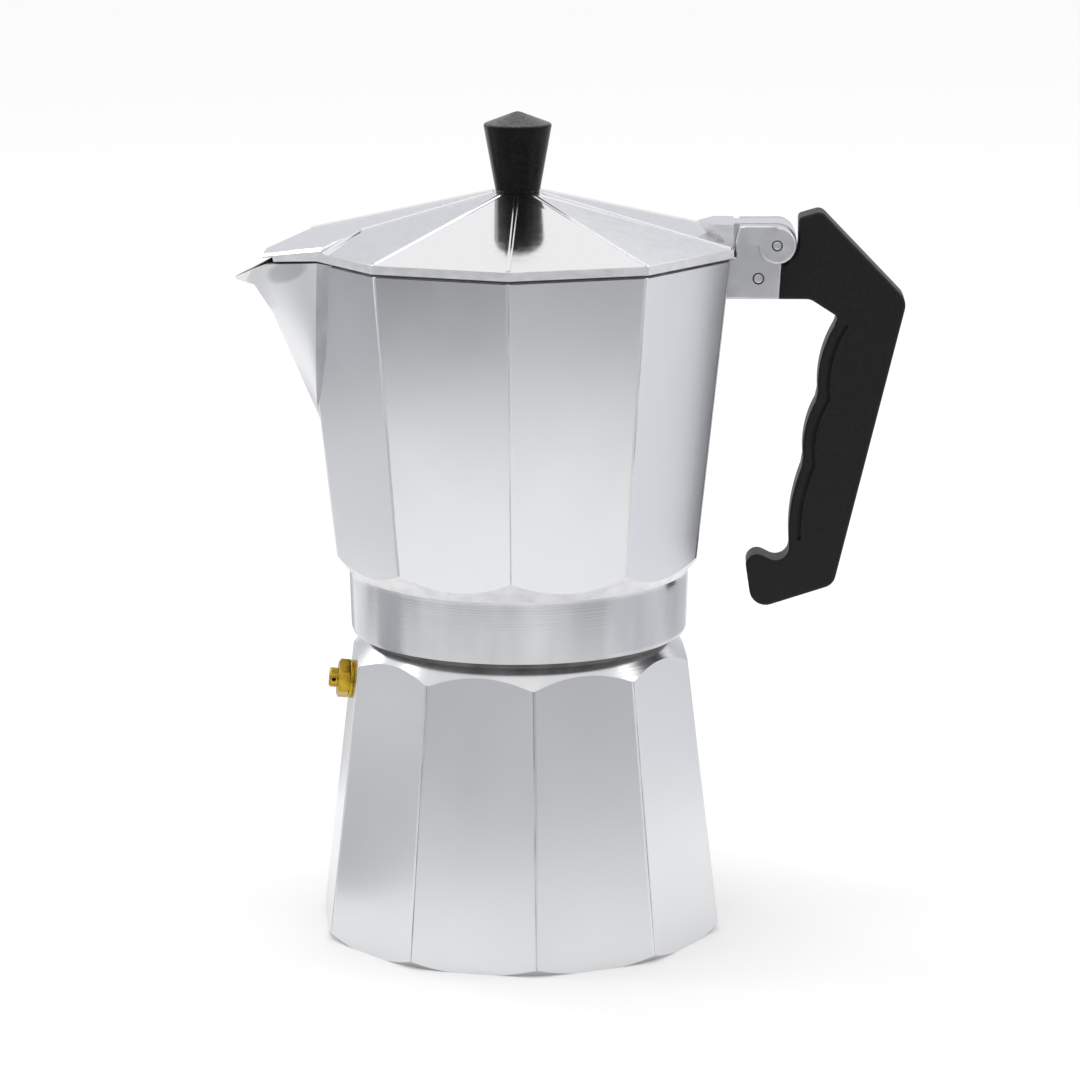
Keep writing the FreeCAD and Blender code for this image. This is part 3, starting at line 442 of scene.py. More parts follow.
# The seventh cast finish is painted shade, laid into crevices where shade falls.
SATIN, TURNED, POLISHED, INSIDE, COLLAR, EDGE, PAINTED_SHADE = range(7)
CHEEK, SPOUT, LOW_CORNER, HIGH_CORNER, FLARE = range(7, len(CAST))
print("cast finishes", [finish.name for finish in CAST])

# %% [markdown]
# The black pieces are a hard moulded plastic. A fine grain breaks up their shine, and the knob is
# a little glossier than the handle. The valve is brass, the pins are drawn steel, the gasket is rubber.

# %% Other finishes
KNOB_CROWN = 223.9


def moulded_black(name, low, high, depth, shine, dust_and_sheen_above=None):
    """Moulded plastic. Given a height in mm, a piece turns greyer above it: dust, and painted sheen from the
    light above.
    """
    finish, tree, shader, place = new_finish(name, (0.010, 0.0095, 0.010), 0.0, low)
    pebble = grain(tree, place, (1300, 1300, 1300), 3)
    fleck = grain(tree, place, (1100, 1100, 1100), 3)
    colour = tint(tree, fleck, (0.0036, 0.0031, 0.0036), (0.0084, 0.0072, 0.0082))
    if dust_and_sheen_above:
        # Greyer top: dust, and painted sheen where the top faces the light.
        dust_and_sheen = tint(tree, fleck, (0.05, 0.048, 0.048), (0.13, 0.126, 0.126))
        colour = mixed(tree, climb(tree, place, dust_and_sheen_above - 0.2, dust_and_sheen_above + 0.3), colour, dust_and_sheen)
    tree.links.new(colour, shader.inputs["Base Color"])
    tree.links.new(spread(tree, fleck, low, high), shader.inputs["Roughness"])
    shader.inputs["Specular IOR Level"].default_value = shine
    relief(tree, shader, [(pebble, depth, 0.2)])
    return finish


def turned_brass():
    """Turned brass, darkened in places by tarnish."""
    finish, tree, shader, place = new_finish("turned_brass", (0.38, 0.23, 0.02), 1.0, 0.27)
    marks = grain(tree, place, (900, 900, 900), 3)
    tarnish = grain(tree, place, (260, 260, 260), 3)
    tree.links.new(tint(tree, tarnish, (0.28, 0.165, 0.009), (0.58, 0.385, 0.04)), shader.inputs["Base Color"])
    tree.links.new(spread(tree, marks, 0.18, 0.265), shader.inputs["Roughness"])
    relief(tree, shader, [(marks, 0.1, 0.1)])
    return finish


def drawn_steel():
    """Steel wire with fine lines along Y, the way it was drawn."""
    finish, tree, shader, place = new_finish("drawn_steel", (0.62, 0.625, 0.635), 1.0, 0.3)
    lines = grain(tree, place, (2200, 160, 2200), 2)
    tree.links.new(spread(tree, lines, 0.28, 0.36), shader.inputs["Roughness"])
    relief(tree, shader, [(lines, 0.04, 0.05)])
    return finish


def pressed_sheet():
    """Thin sheet aluminium, drawn over a die."""
    finish, tree, shader, place = new_finish("pressed_sheet", (0.78, 0.78, 0.785), 1.0, 0.34)
    drawn = grain(tree, place, (900, 900, 60), 2)
    cloud = grain(tree, place, (50, 50, 50), 2)
    tree.links.new(spread(tree, cloud, 0.28, 0.42), shader.inputs["Roughness"])
    relief(tree, shader, [(drawn, 0.06, 0.15)])
    return finish


def soft_rubber():
    """Pale, dull rubber."""
    finish, tree, shader, place = new_finish("soft_rubber", (0.62, 0.60, 0.55), 0.0, 0.6)
    dust = grain(tree, place, (500, 500, 500), 4)
    tree.links.new(tint(tree, dust, (0.55, 0.53, 0.48), (0.68, 0.66, 0.61)), shader.inputs["Base Color"])
    tree.links.new(spread(tree, dust, 0.5, 0.7), shader.inputs["Roughness"])
    relief(tree, shader, [(dust, 0.1, 0.2)])
    return finish


GRIP_BLACK = moulded_black("grip_black", 0.4, 0.5, 0.3, 0.27)
KNOB_BLACK = moulded_black("knob_black", 0.2, 0.26, 0.04, 0.14, dust_and_sheen_above=KNOB_CROWN)
BRASS = turned_brass()
STEEL = drawn_steel()
SHEET = pressed_sheet()
RUBBER = soft_rubber()
print("other finishes", [finish.name for finish in (GRIP_BLACK, KNOB_BLACK, BRASS, STEEL, SHEET, RUBBER)])

# %% [markdown]
# The boiler is a ten-sided cup, wider at the stove. Its upright corners are rounded first. Where a lathe
# has turned its shoulder, the flat sides end in shallow scallops: that comes by itself when the ten-sided
# solid is intersected with a turned one, so this is done with a boolean and not drawn by hand.

# %% Boiler
SIDES = 10
BOILER_TURN = 6.86
BOILER_FOOT, BOILER_LEAN = 57.0, 0.1196
NECK_RADIUS, NECK_FOOT, NECK_TOP = 43.0, 82.4, 91.5
CORNER_ROUND, CORNER_STEPS = 0.9, 5


def boiler_radius(z):
    """How far the boiler's corners are from the axis at a height."""
    return BOILER_FOOT - BOILER_LEAN * z


def upright(a, b):
    """An edge that climbs from one level to another."""
    return abs(a.z - b.z) > 0.5 * MM


def dull_corners(piece, turn, finish):
    """Gives the middle strip of each rounded corner its dull finish."""
    for face in piece.data.polygons:
        angle = math.degrees(math.atan2(face.normal.y, face.normal.x)) - turn
        if abs(face.normal.z) < 0.3 and abs(angle % 36 - 18) < 3:
            face.material_index = finish


boiler_steps = [(boiler_radius(0), 0), (boiler_radius(NECK_TOP), NECK_TOP)]
boiler = lathe("boiler_body", boiler_steps, CAST, SIDES, SATIN, BOILER_TURN)
round_edges(boiler, CORNER_ROUND, CORNER_STEPS, upright)
dull_corners(boiler, BOILER_TURN, LOW_CORNER)
turned_steps = [(54.6, 0), (59.4, 4.8), (59.4, 63.56), (NECK_RADIUS, NECK_FOOT), (NECK_RADIUS, NECK_TOP)]
turning = lathe("tool", turned_steps, CAST, 180, TURNED)
# The neck, seen in the gap under the collar, gets painted shade.
for face in turning.data.polygons:
    if face.center.z > NECK_FOOT * MM and abs(face.normal.z) < 0.5:
        face.material_index = PAINTED_SHADE
combine(boiler, turning, "INTERSECT")
print("boiler sides and shoulder, faces", len(boiler.data.polygons))

# %% [markdown]
# A turned tool hollows the boiler out, and a shallow one leaves its underside standing on a rim. The hole for
# the safety valve is square to the leaning side, so one matrix takes whatever is drawn up the Z axis there.

# %% Boiler: hollow and valve hole
VALVE_HEIGHT, VALVE_SHANK = 70, 4.0

water_room = [(49.9, 4), (41.6, 76.9), (39.0, 79.6), (39.0, 92)]
combine(boiler, lathe("tool", water_room, CAST, 120, INSIDE), "DIFFERENCE")
combine(boiler, lathe("tool", [(40.0, -1), (40.0, 0.5)], CAST, 120, TURNED), "DIFFERENCE")
valve_tilt = math.atan(BOILER_LEAN * math.cos(math.pi / SIDES))
valve_spot = Vector((-math.cos(math.pi / SIDES) * boiler_radius(VALVE_HEIGHT), 0, VALVE_HEIGHT)) * MM
to_valve = Matrix.Rotation(math.radians(BOILER_TURN), 4, "Z") @ Matrix.Translation(valve_spot)
to_valve = to_valve @ Matrix.Rotation(valve_tilt - math.pi / 2, 4, "Y")


def set_at_valve(piece):
    """Takes a piece drawn up the Z axis to the valve's place."""
    only(piece)
    piece.matrix_world = to_valve
    bpy.ops.object.transform_apply(location=True, rotation=True, scale=True)
    return piece


valve_hole = lathe("tool", [(VALVE_SHANK, -12), (VALVE_SHANK, 12)], CAST, 48, INSIDE)
combine(boiler, set_at_valve(valve_hole), "DIFFERENCE")
soften(boiler, 0.3)
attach(boiler, "base")
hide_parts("boiler")

# %% [markdown]
# The neck carries a coarse thread that shows once the upper pot is screwed off. A small triangle is
# carried round by the Screw modifier, which climbs one pitch for each turn, and its two ends are closed.

# %% Neck thread
THREAD_PITCH, THREAD_TURNS, THREAD_STEPS = 3.0, 2, 96
THREAD_SIZE, THREAD_RADIUS, THREAD_FOOT = 0.55, 42.75, 84.2

bpy.ops.object.select_all(action="DESELECT")
bpy.ops.mesh.primitive_circle_add(
    vertices=3, radius=THREAD_SIZE * MM,
    location=(THREAD_RADIUS * MM, 0, THREAD_FOOT * MM), rotation=(math.pi / 2, 0, 0))
thread = begin("neck_thread", [CAST[TURNED]])
modifier = thread.modifiers.new("thread", "SCREW")
modifier.axis = "Z"
modifier.angle = 2 * math.pi
modifier.screw_offset = THREAD_PITCH * MM
modifier.iterations = THREAD_TURNS
modifier.steps = THREAD_STEPS
modifier.render_steps = THREAD_STEPS
modifier.use_merge_vertices = False
bpy.ops.object.modifier_apply(modifier=modifier.name)
pick_edges(thread, lambda a, b: False)
bpy.ops.mesh.select_non_manifold(extend=False)
bpy.ops.mesh.fill_holes(sides=0)
bpy.ops.object.mode_set(mode="OBJECT")
done(thread)
bpy.ops.object.shade_smooth_by_angle(angle=math.radians(30))
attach(thread, "base")
print("thread faces", len(thread.data.polygons))

# %% [markdown]
# Flat pieces and cross holes start as a plate: a filled circle whose corners are moved to a drawn outline,
# and which is then extruded to its thickness.

# %% Flat plates
def plate(name, outline, start, end, finishes, finish=0, upright=True):
    """Flat plate: a filled circle whose corners are moved to an outline, then extruded.
    An upright plate is drawn in (x, z) and runs along Y, the other in (x, y) and runs along Z."""
    bpy.ops.object.select_all(action="DESELECT")
    bpy.ops.mesh.primitive_circle_add(vertices=len(outline), radius=MM, fill_type="NGON")
    piece = begin(name, finishes)
    for vertex, (a, b) in zip(piece.data.vertices, outline):
        vertex.co = Vector((a, start, b) if upright else (a, b, start)) * MM
    run = Vector((0, end - start, 0) if upright else (0, 0, end - start)) * MM
    bpy.ops.object.mode_set(mode="EDIT")
    bpy.ops.mesh.select_all(action="SELECT")
    bpy.ops.mesh.extrude_region_move(TRANSFORM_OT_translate={"value": tuple(run)})
    bpy.ops.object.mode_set(mode="OBJECT")
    for face in piece.data.polygons:
        face.material_index = finish
    return done(piece)

# %% [markdown]
# The safety valve is a brass hexagon with chamfered corners, a plain washer behind it and a short sleeve
# with a cross hole at its end. Everything is drawn up the Z axis and then taken to the boiler's side.

# %% Safety valve
def hollowed(piece, radius, low, high, finish=0):
    """Drills a round hole up the Z axis."""
    bit = lathe("tool", [(radius, low), (radius, high)], list(piece.data.materials), 48, finish)
    return combine(piece, bit, "DIFFERENCE")


valve_nut = lathe("valve_nut", [(5.5, 1.1), (5.5, 4.3)], [BRASS], sides=6, turn=30)
combine(valve_nut, lathe("tool", [(5.0, 1.0), (5.6, 1.6), (5.6, 3.7), (4.4, 4.4)], [BRASS], 64), "INTERSECT")
combine(valve_nut, lathe("tool", [(VALVE_SHANK, -5.6), (VALVE_SHANK, 1.4)], [BRASS], 64), "UNION")
hollowed(valve_nut, 2.2, -3.6, 5)
hollowed(valve_nut, 1.1, -6, -3)
set_at_valve(soften(valve_nut, 0.15))
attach(valve_nut, "base")
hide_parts("valve_body")

valve_ring = lathe("valve_ring", [(5.2, 0), (5.4, 0.2), (5.4, 0.9), (5.2, 1.1)], [BRASS], 64)
hollowed(valve_ring, VALVE_SHANK, -1, 2)
set_at_valve(soften(valve_ring, 0.1))
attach(valve_ring, "base")
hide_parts("valve_washer")

VENT_RADIUS, VENT_HEIGHT = 0.6, 5.45
valve_sleeve = lathe("valve_sleeve", [(2.2, 3.3), (2.2, 4.3), (2.7, 4.3), (2.7, 6.3), (2.4, 6.6)], [BRASS], 48)
hollowed(valve_sleeve, 0.75, 3, 7)
angles = [k * math.pi / 12 for k in range(24)]
vent = [(VENT_RADIUS * math.cos(t), VENT_HEIGHT + VENT_RADIUS * math.sin(t)) for t in angles]
combine(valve_sleeve, plate("tool", vent, -4, 4, [BRASS]), "DIFFERENCE")
set_at_valve(soften(valve_sleeve, 0.12))
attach(valve_sleeve, "base")
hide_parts("valve_cap")

# %% [markdown]
# A form that changes its section on the way, such as the spout, goes through a row of rings of corners. The
# rings are extruded one after the other, and each ring's corners are then moved to their place.

# %% Solids through rings
def sections(name, rings, finishes, finish=0):
    """Solid through closed rings of corners: a filled circle is extruded once for each further ring,
    and each ring's corners are then moved to their place."""
    bpy.ops.object.select_all(action="DESELECT")
    count = len(rings[0])
    bpy.ops.mesh.primitive_circle_add(vertices=count, radius=MM, fill_type="NGON")
    piece = begin(name, finishes)
    bpy.ops.object.mode_set(mode="EDIT")
    bpy.ops.mesh.select_all(action="SELECT")
    for level in range(1, len(rings)):
        bpy.ops.mesh.extrude_region_move(TRANSFORM_OT_translate={"value": (0, 0, MM)})
    bpy.ops.object.mode_set(mode="OBJECT")
    levels = {}
    for vertex in piece.data.vertices:
        levels.setdefault(round(vertex.co.z / MM), []).append(vertex)
    for level, corners in zip(sorted(levels), rings):
        ordered = sorted(levels[level], key=lambda v: math.atan2(v.co.x, v.co.y))
        for vertex, place in zip(ordered, corners):
            vertex.co = Vector(place) * MM
    for face in piece.data.polygons:
        face.material_index = finish
    return done(piece)

# %% [markdown]
# The V-shaped spout is a solid through levels that rise from a foot on the pot's side to the rim. Its two sides
# twist on the way and meet in a rounded keel, and a low flare leads each side over into the facet beside it.
# The same solid, moved inwards, later hollows it out.

# %% Spout
RIM = 189.5
SPOUT_FOOT, SPOUT_KNEE = 135.4, 150
SPOUT_STEPS = 16
FLARE_BACK, FLARE_OUT = 4.05, 4.5


def spout_size(t):
    """Keel, shoulder and half width of the spout from its knee (t = 0) to the rim (t = 1). The shoulder bulges
    a little on the way, so that it covers the pot's corner."""
    shoulder = 54.0 - 1.34 * t + 1.15 * t * (1 - t)
    return 58.0 + 17.22 * t, shoulder, 17.25 + 9.53 * t


def spout_level(keel, corner, half, z, shift=0.0):
    """Corners of the spout at one level: a low flare up to the shoulder, each side in four parts from there
    to the keel, and a straight back inside the pot."""
    flare = (-corner + FLARE_BACK, -half - FLARE_OUT)
    side = [flare] + [(-corner - (keel - corner) * k / 4, -half * (1 - k / 4)) for k in range(5)]
    other = [(x, -y) for x, y in side[4::-1]]
    back = [(-corner / 2, half), (-corner / 2, -half)]
    return [(x + shift, y, z) for x, y in side + other + back]


def on_keel(a, b):
    """An edge that climbs along the keel, in the middle plane."""
    return upright(a, b) and abs(a.y) < 0.1 * MM and abs(b.y) < 0.1 * MM and a.x < -45 * MM


def spout_solid(shift, top):
    """The spout's foot and knee, then even steps up to the rim, so that its twisted sides stay smooth."""
    climb_room = RIM - SPOUT_KNEE
    levels = [spout_level(51.4, 51.4, 12.0, SPOUT_FOOT, shift)]
    for step in range(SPOUT_STEPS + 1):
        t = step / SPOUT_STEPS
        levels.append(spout_level(*spout_size(t), SPOUT_KNEE + climb_room * t, shift))
    if top > RIM:
        levels.append(spout_level(*spout_size(1), top, shift))
    solid = sections("spout", levels, CAST, SPOUT if shift == 0 else INSIDE)
    # The flare's faces get the darker flare finish, painted shade along the crease.
    for face in solid.data.polygons:
        half = spout_size((face.center.z / MM - SPOUT_KNEE) / climb_room)[2]
        if shift == 0 and abs(face.center.y) / MM > half + 0.5 and face.normal.x < -0.5:
            face.material_index = FLARE
    print("spout levels", len(levels))
    return round_edges(solid, 0.8, 4, on_keel)

# %% [markdown]
# The upper pot is built as the boiler was: a ten-sided solid with rounded corners, cut by a turned one for
# its collar and its scalloped foot. The turned solid hands each face its finish: the collar, the filed foot
# above it, and painted shade on the collar's underside below.

# %% Upper pot: sides, collar and spout
FLOOR = 103.0
SCALLOP_FOOT = 101.4
SIDE_TOP = 189.05


def collector_radius(z):
    """How far the upper pot's corners are from the axis at a height."""
    return 51.8 + 0.1107 * (z - 107.8)


def tall(a, b):
    """An edge along a corner, and not one of the low chamfer at the rim."""
    return abs(a.z - b.z) > 2 * MM


pot_steps = [(collector_radius(80), 80), (collector_radius(SIDE_TOP), SIDE_TOP), (60.4, RIM)]
pot = lathe("upper_pot_body", pot_steps, CAST, SIDES, SATIN)
round_edges(pot, CORNER_ROUND, CORNER_STEPS, tall)
dull_corners(pot, 0, HIGH_CORNER)
foot_steps = [(45.9, 84.2), (46.4, 85.5), (46.9, SCALLOP_FOOT), (75.2, 136.8), (75.2, 191)]
envelope = lathe("envelope", foot_steps, CAST, 180, COLLAR)
# The scalloped foot gets filed edges, and the collar's downward-facing underside gets painted shade.
for face in envelope.data.polygons:
    if face.center.z > SCALLOP_FOOT * MM:
        face.material_index = EDGE
    elif face.normal.z < -0.9:
        face.material_index = PAINTED_SHADE
combine(pot, envelope, "INTERSECT")
combine(pot, spout_solid(0, RIM), "UNION")
print("upper pot with spout, faces", len(pot.data.polygons))

# %% [markdown]
# The pouring lip is a small beak on the end of the spout. Four sections give its shape, each with a keel and
# two upright sides, and it is joined on before anything is hollowed.

# %% Pouring lip
def lip_section(x, keel, half, rim):
    """Corners of the lip at one distance from the axis: its keel, and its two sides up to above the rim."""
    return [(-x, 0, keel), (-x, half, rim), (-x, half, RIM + 2), (-x, -half, RIM + 2), (-x, -half, rim)]


beak = sections("tool", [
    lip_section(66.9, 171.4, 8.1, 187.0),
    lip_section(72.3, 179.6, 4.2, 184.6),
    lip_section(74.8, 180.3, 2.8, 183.1),
    lip_section(77.3, 181.1, 1.3, 181.9),
], CAST, SPOUT)
combine(pot, beak, "UNION")
print("upper pot with lip, faces", len(pot.data.polygons))

# %% [markdown]
# A smaller ten-sided solid with a turned foot hollows the pot, the spout's own copy hollows the spout, and
# slimmer sections cut the lip's channel. The rim then dips in a curve that leaves room for the lid's cover.

# %% Upper pot: hollow and rim
SPOUT_WALL = 3.0


def arc(a, b, c, count):
    """Points on the circle through three points, from the first to the last."""
    ax, ay = a
    bx, by = b
    cx, cy = c
    aa, bb, cc = ax * ax + ay * ay, bx * bx + by * by, cx * cx + cy * cy
    d = 2 * (ax * (by - cy) + bx * (cy - ay) + cx * (ay - by))
    ux = (aa * (by - cy) + bb * (cy - ay) + cc * (ay - by)) / d
    uy = (aa * (cx - bx) + bb * (ax - cx) + cc * (bx - ax)) / d
    first = math.atan2(ay - uy, ax - ux)
    way = math.atan2(by - uy, bx - ux) - first
    way = (way + math.pi) % (2 * math.pi) - math.pi
    whole = math.atan2(cy - uy, cx - ux) - first
    whole = whole % (2 * math.pi) if way > 0 else -((-whole) % (2 * math.pi))
    radius = math.hypot(ax - ux, ay - uy)
    steps = [first + whole * k / count for k in range(count + 1)]
    return [(ux + radius * math.cos(t), uy + radius * math.sin(t)) for t in steps]


hollow = lathe("hollow", [(48.15, FLOOR), (57.69, RIM), (57.69, 193)], CAST, SIDES, INSIDE)
round_edges(hollow, 2.0, 4, tall)
combine(hollow, lathe("tool", [(45.4, FLOOR), (75, 156.3), (75, 194)], CAST, 120, INSIDE), "INTERSECT")
combine(pot, hollow, "DIFFERENCE")
combine(pot, spout_solid(SPOUT_WALL, 193), "DIFFERENCE")
# The lip's channel gets painted shade, dark where it lies under the cover.
channel = sections("tool", [
    lip_section(60.0, 176.0, 6.6, 187.0),
    lip_section(67.0, 177.0, 5.6, 186.4),
    lip_section(72.3, 182.0, 2.7, 185.4),
    lip_section(74.8, 181.7, 1.7, 183.5),
    lip_section(78.5, 181.9, 0.7, 182.6),
], CAST, PAINTED_SHADE)
combine(pot, channel, "DIFFERENCE")
dip = [(-52.5, RIM)] + arc((-68.02, 186.2), (-72.32, 184.2), (-77.32, 181.9), 10)
dip += [(-79, 181.4), (-79, 196), (-50, 196), (-50, RIM)]
combine(pot, plate("tool", dip, -32, 32, CAST, INSIDE), "DIFFERENCE")
print("upper pot hollowed, faces", len(pot.data.polygons))

# %% [markdown]
# Under the floor the collar is bored out for the neck. Two cheeks behind the rim hold the pins of the
# lid and the handle: each is a plate with a round raised ear, joined on and drilled.

# %% Collar bore and hinge cheeks
HINGE = (70.4, 192.3)
HANDLE_PIN = (65.4, 183.2)
LID_PIN_RADIUS, GRIP_PIN_RADIUS = 1.5, 1.6
CHEEK_INNER, CHEEK_OUTER = 5.5, 10
EAR_RADIUS, EAR_OUTER = 5.2, 11


def circle(centre, radius, count=40):
    """Points round a circle in (x, z)."""
    steps = [2 * math.pi * k / count for k in range(count)]
    return [(centre[0] + radius * math.cos(t), centre[1] + radius * math.sin(t)) for t in steps]


def drill(piece, centre, radius, half):
    """Drills a round hole along Y."""
    bit = plate("tool", circle(centre, radius), -half, half, list(piece.data.materials))
    return combine(piece, bit, "DIFFERENCE")


collar_bore = [(43.6, 83), (43.6, 96.5), (33, 96.5), (33, 99)]
combine(pot, lathe("tool", collar_bore, CAST, 140, INSIDE), "DIFFERENCE")
combine(pot, lathe("tool", [(4.2, 98), (4.2, 104)], CAST, 48, INSIDE), "DIFFERENCE")
for side in (-1, 1):
    outline = [(55, 177.5), (71.1, 177.5), (71.9, 192.3), (70.4, 197.5)]
    outline += arc((60.39, 197.5), (59.52, 195.2), (59.12, 192.3), 6) + [(59.12, 189), (55, 189)]
    cheek = plate("tool", outline, side * CHEEK_INNER, side * CHEEK_OUTER, CAST, CHEEK)
    round_edges(cheek, 0.7, 3, lambda a, b: a.y * side > 9 * MM and b.y * side > 9 * MM)
    ear = plate("tool2", circle(HINGE, EAR_RADIUS, 64), side * CHEEK_INNER, side * EAR_OUTER, CAST, CHEEK)
    round_edges(ear, 0.9, 4, lambda a, b: a.y * side > 10 * MM and b.y * side > 10 * MM)
    combine(cheek, ear, "UNION")
    wedge = [(61.6, 9.4), (61.6, 9.9), (65.6, 10.95), (70.4, 10.95), (70.4, 9.4)]
    wedge = [(x, side * y) for x, y in wedge]
    combine(cheek, plate("tool2", wedge, 192.35, 197.25, CAST, CHEEK, False), "UNION")
    combine(pot, cheek, "UNION")
drill(pot, HINGE, LID_PIN_RADIUS, 14)
drill(pot, HANDLE_PIN, GRIP_PIN_RADIUS, 14)
soften(pot, 0.25)
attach(pot, "upper_pot")
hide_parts("collector")

# %% [markdown]
# The lid is a low ten-sided pyramid on a narrow band. Its spout-side facet runs on over the spout as a cover.
# Two faces that lie in one plane would confuse a Boolean, so a block that stands too high is joined on, and
# bisects along the facet's plane, along the cover's steeper end and along its folded far wing then trim lid
# and cover together. Three more bisects break the cover's sharp top edge into a narrow bright chamfer.

# %% Lid roof and spout cover
BAND_RADIUS, BAND_FOOT, BAND_TOP = 61.747, 190.1, 192.4
UNDERCUT_RADIUS, UNDERCUT_TOP = 60.0, 190.05
ROOF_RADIUS, ROOF_TOP = 6.2, 205.6
FACET_SLOPE = 0.25
TIP_END = (-0.30, -0.015, 1)
FAR_WING = (-0.20919, 0.12519, 1)
CHAMFERS = [
    ((-51.016, -28.872, 193.608), (-0.691, -0.391, 0.609)),
    ((-69.313, 0, 188.626), (-0.802, -0.009, 0.597)),
    ((-69.21, 4.49, 188.568), (-0.696, 0.375, 0.613)),
]


def trim(piece, place, normal):
    """Cuts off all of a piece on the far side of a plane and closes the cut."""
    only(piece)
    bpy.ops.object.mode_set(mode="EDIT")
    bpy.ops.mesh.select_all(action="SELECT")
    bpy.ops.mesh.bisect(
        plane_co=Vector(place) * MM, plane_no=normal, use_fill=True, clear_outer=True, threshold=1e-7)
    bpy.ops.object.mode_set(mode="OBJECT")
    return piece


lid_steps = [(UNDERCUT_RADIUS, RIM), (UNDERCUT_RADIUS, UNDERCUT_TOP)]
lid_steps += [(BAND_RADIUS, BAND_FOOT), (BAND_RADIUS, BAND_TOP), (ROOF_RADIUS, ROOF_TOP)]
lid = lathe("lid_body", lid_steps, CAST, SIDES, POLISHED)
profile = [(-36, 190.15), (-52.5, 190.15), (-66.0, 187.3), (-66.3, 188.5)]
profile += [(-69.72, 187.5), (-69.72, 196), (-36, 203)]
cover = plate("cover", profile, -33, 33, CAST, POLISHED)
plan = [(-51.33, -29.05), (-40.6, -13.3), (-40.6, 13.3), (-51.33, 29.05), (-69.6, 4.7), (-69.6, -4.7)]
combine(cover, plate("tool", plan, 180, 210, CAST, POLISHED, False), "INTERSECT")
combine(lid, cover, "UNION")
trim(lid, (-58.72, 0, 192.34), (-FACET_SLOPE, 0, 1))
trim(lid, (-54, 0, 193.52), TIP_END)
trim(lid, (-58.725, 19.081, 192.4), FAR_WING)
for place, normal in CHAMFERS:
    trim(lid, place, normal)
# The undercut wall over the rim and the lid's underside get painted shade for the dark gap line; other upright
# faces are filed edges.
for face in lid.data.polygons:
    if abs(face.normal.z) < 0.3:
        undercut = face.center.z < (UNDERCUT_TOP + 0.01) * MM and face.center.x > -57 * MM
        face.material_index = PAINTED_SHADE if undercut else EDGE
    if face.normal.z < -0.8:
        face.material_index = PAINTED_SHADE
print("lid roof faces", len(lid.data.polygons))

# %% [markdown]
# A slim rounded rib runs down each hip and catches the light as a bright line. One long bar with an oval section
# is copied round the axis to nine hips. The hip beside the cover's near wing gets a shorter one, because the
# wing leaves the hip there, and a small bar lies along the foot of the wing instead.

# %% Lid ribs
HIP_SLOPE = 0.23763
RIB_START, RIB_HALF_WIDTH, RIB_HALF_HEIGHT = 7.2, 0.62, 0.45
NEAR_WING_HIP = 198


def bar(name, start, end, half_width, half_height):
    """Straight bar with an oval section between two points in mm."""
    start, end = Vector(start), Vector(end)
    across = (end - start).cross(Vector((0, 0, 1))).normalized()
    turns = [2 * math.pi * k / 10 for k in range(10)]
    oval = [across * half_width * math.cos(t) + Vector((0, 0, half_height * math.sin(t))) for t in turns]
    return sections(name, [[tuple(middle + p) for p in oval] for middle in (start, end)], CAST, POLISHED)


def hip(radius):
    """Point on the hip over +X, at a distance from the axis."""
    return (radius, 0, ROOF_TOP - HIP_SLOPE * (radius - ROOF_RADIUS))


long_rib = bar("long_rib", hip(RIB_START), hip(61.0), RIB_HALF_WIDTH, RIB_HALF_HEIGHT)
short_rib = bar("short_rib", hip(RIB_START), hip(44.0), RIB_HALF_WIDTH, RIB_HALF_HEIGHT)
for number in range(SIDES):
    angle = 18 + 36 * number
    only(short_rib if angle == NEAR_WING_HIP else long_rib)
    bpy.ops.object.duplicate()
    rib = bpy.context.object
    rib.matrix_world = Matrix.Rotation(math.radians(angle), 4, "Z")
    bpy.ops.object.transform_apply(location=True, rotation=True, scale=True)
    combine(lid, rib, "UNION")
bpy.data.objects.remove(long_rib)
bpy.data.objects.remove(short_rib)
combine(lid, bar("tool", (-42.1, -15.6, 196.45), (-51.0, -29.9, 192.42), 0.5, 0.4), "UNION")
print("lid with ribs, faces", len(lid.data.polygons))

# %% [markdown]
# The lid's inside is a smaller pyramid taken away. At the back, a flat tab with a pointed, undercut front
# reaches to a barrel round the hinge pin. The tab is made whole first and then joined to the lid.

# %% Lid hollow and hinge tab
def tab_outline(back, z):
    """Corners of the tab at one height, with its pointed front drawn back."""
    flat = [(48.82 + back, 0), (53.02 + back, -8.4), (58.66, -8.4), (58.66, 8.4), (53.02 + back, 8.4)]
    return [(x, y, z) for x, y in flat]


combine(lid, lathe("tool", [(59.35, 188), (59.35, 191.16), (7.0, 203.6)], CAST, SIDES, INSIDE), "DIFFERENCE")
tab = sections("tab", [tab_outline(5.4, 190.2), tab_outline(0, 197.7)], CAST, POLISHED)
arm = [(54, 190.3)] + arc((70.4, 186.9), (75.8, 192.3), (70.4, 197.6), 24) + [(54, 197.6)]
arm[1:1] = [(66.0, 190.3)] + arc((66.0, 189.1), (67.9, 187.5), (70.4, 186.9), 6)[1:-1]
combine(tab, plate("tool", arm, -5.2, 5.2, CAST, POLISHED), "UNION")
for face in tab.data.polygons:
    if abs(face.normal.z) < 0.9 and face.center.x < 66 * MM:
        face.material_index = EDGE
round_edges(tab, 0.35, 2, lambda a, b: a.z > 197.5 * MM and b.z > 197.5 * MM and a.x < 60 * MM)
combine(lid, tab, "UNION")
drill(lid, HINGE, 1.55, 8)
hollowed(lid, 2.05, 190, 210, INSIDE)
soften(lid, 0.2)
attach(lid, "lid_group")
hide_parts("lid")

# %% [markdown]
# The knob is one turned piece of black plastic: a cone that widens upwards and ends in a shallow point. A steel
# screw with a slotted head holds it from inside the lid.

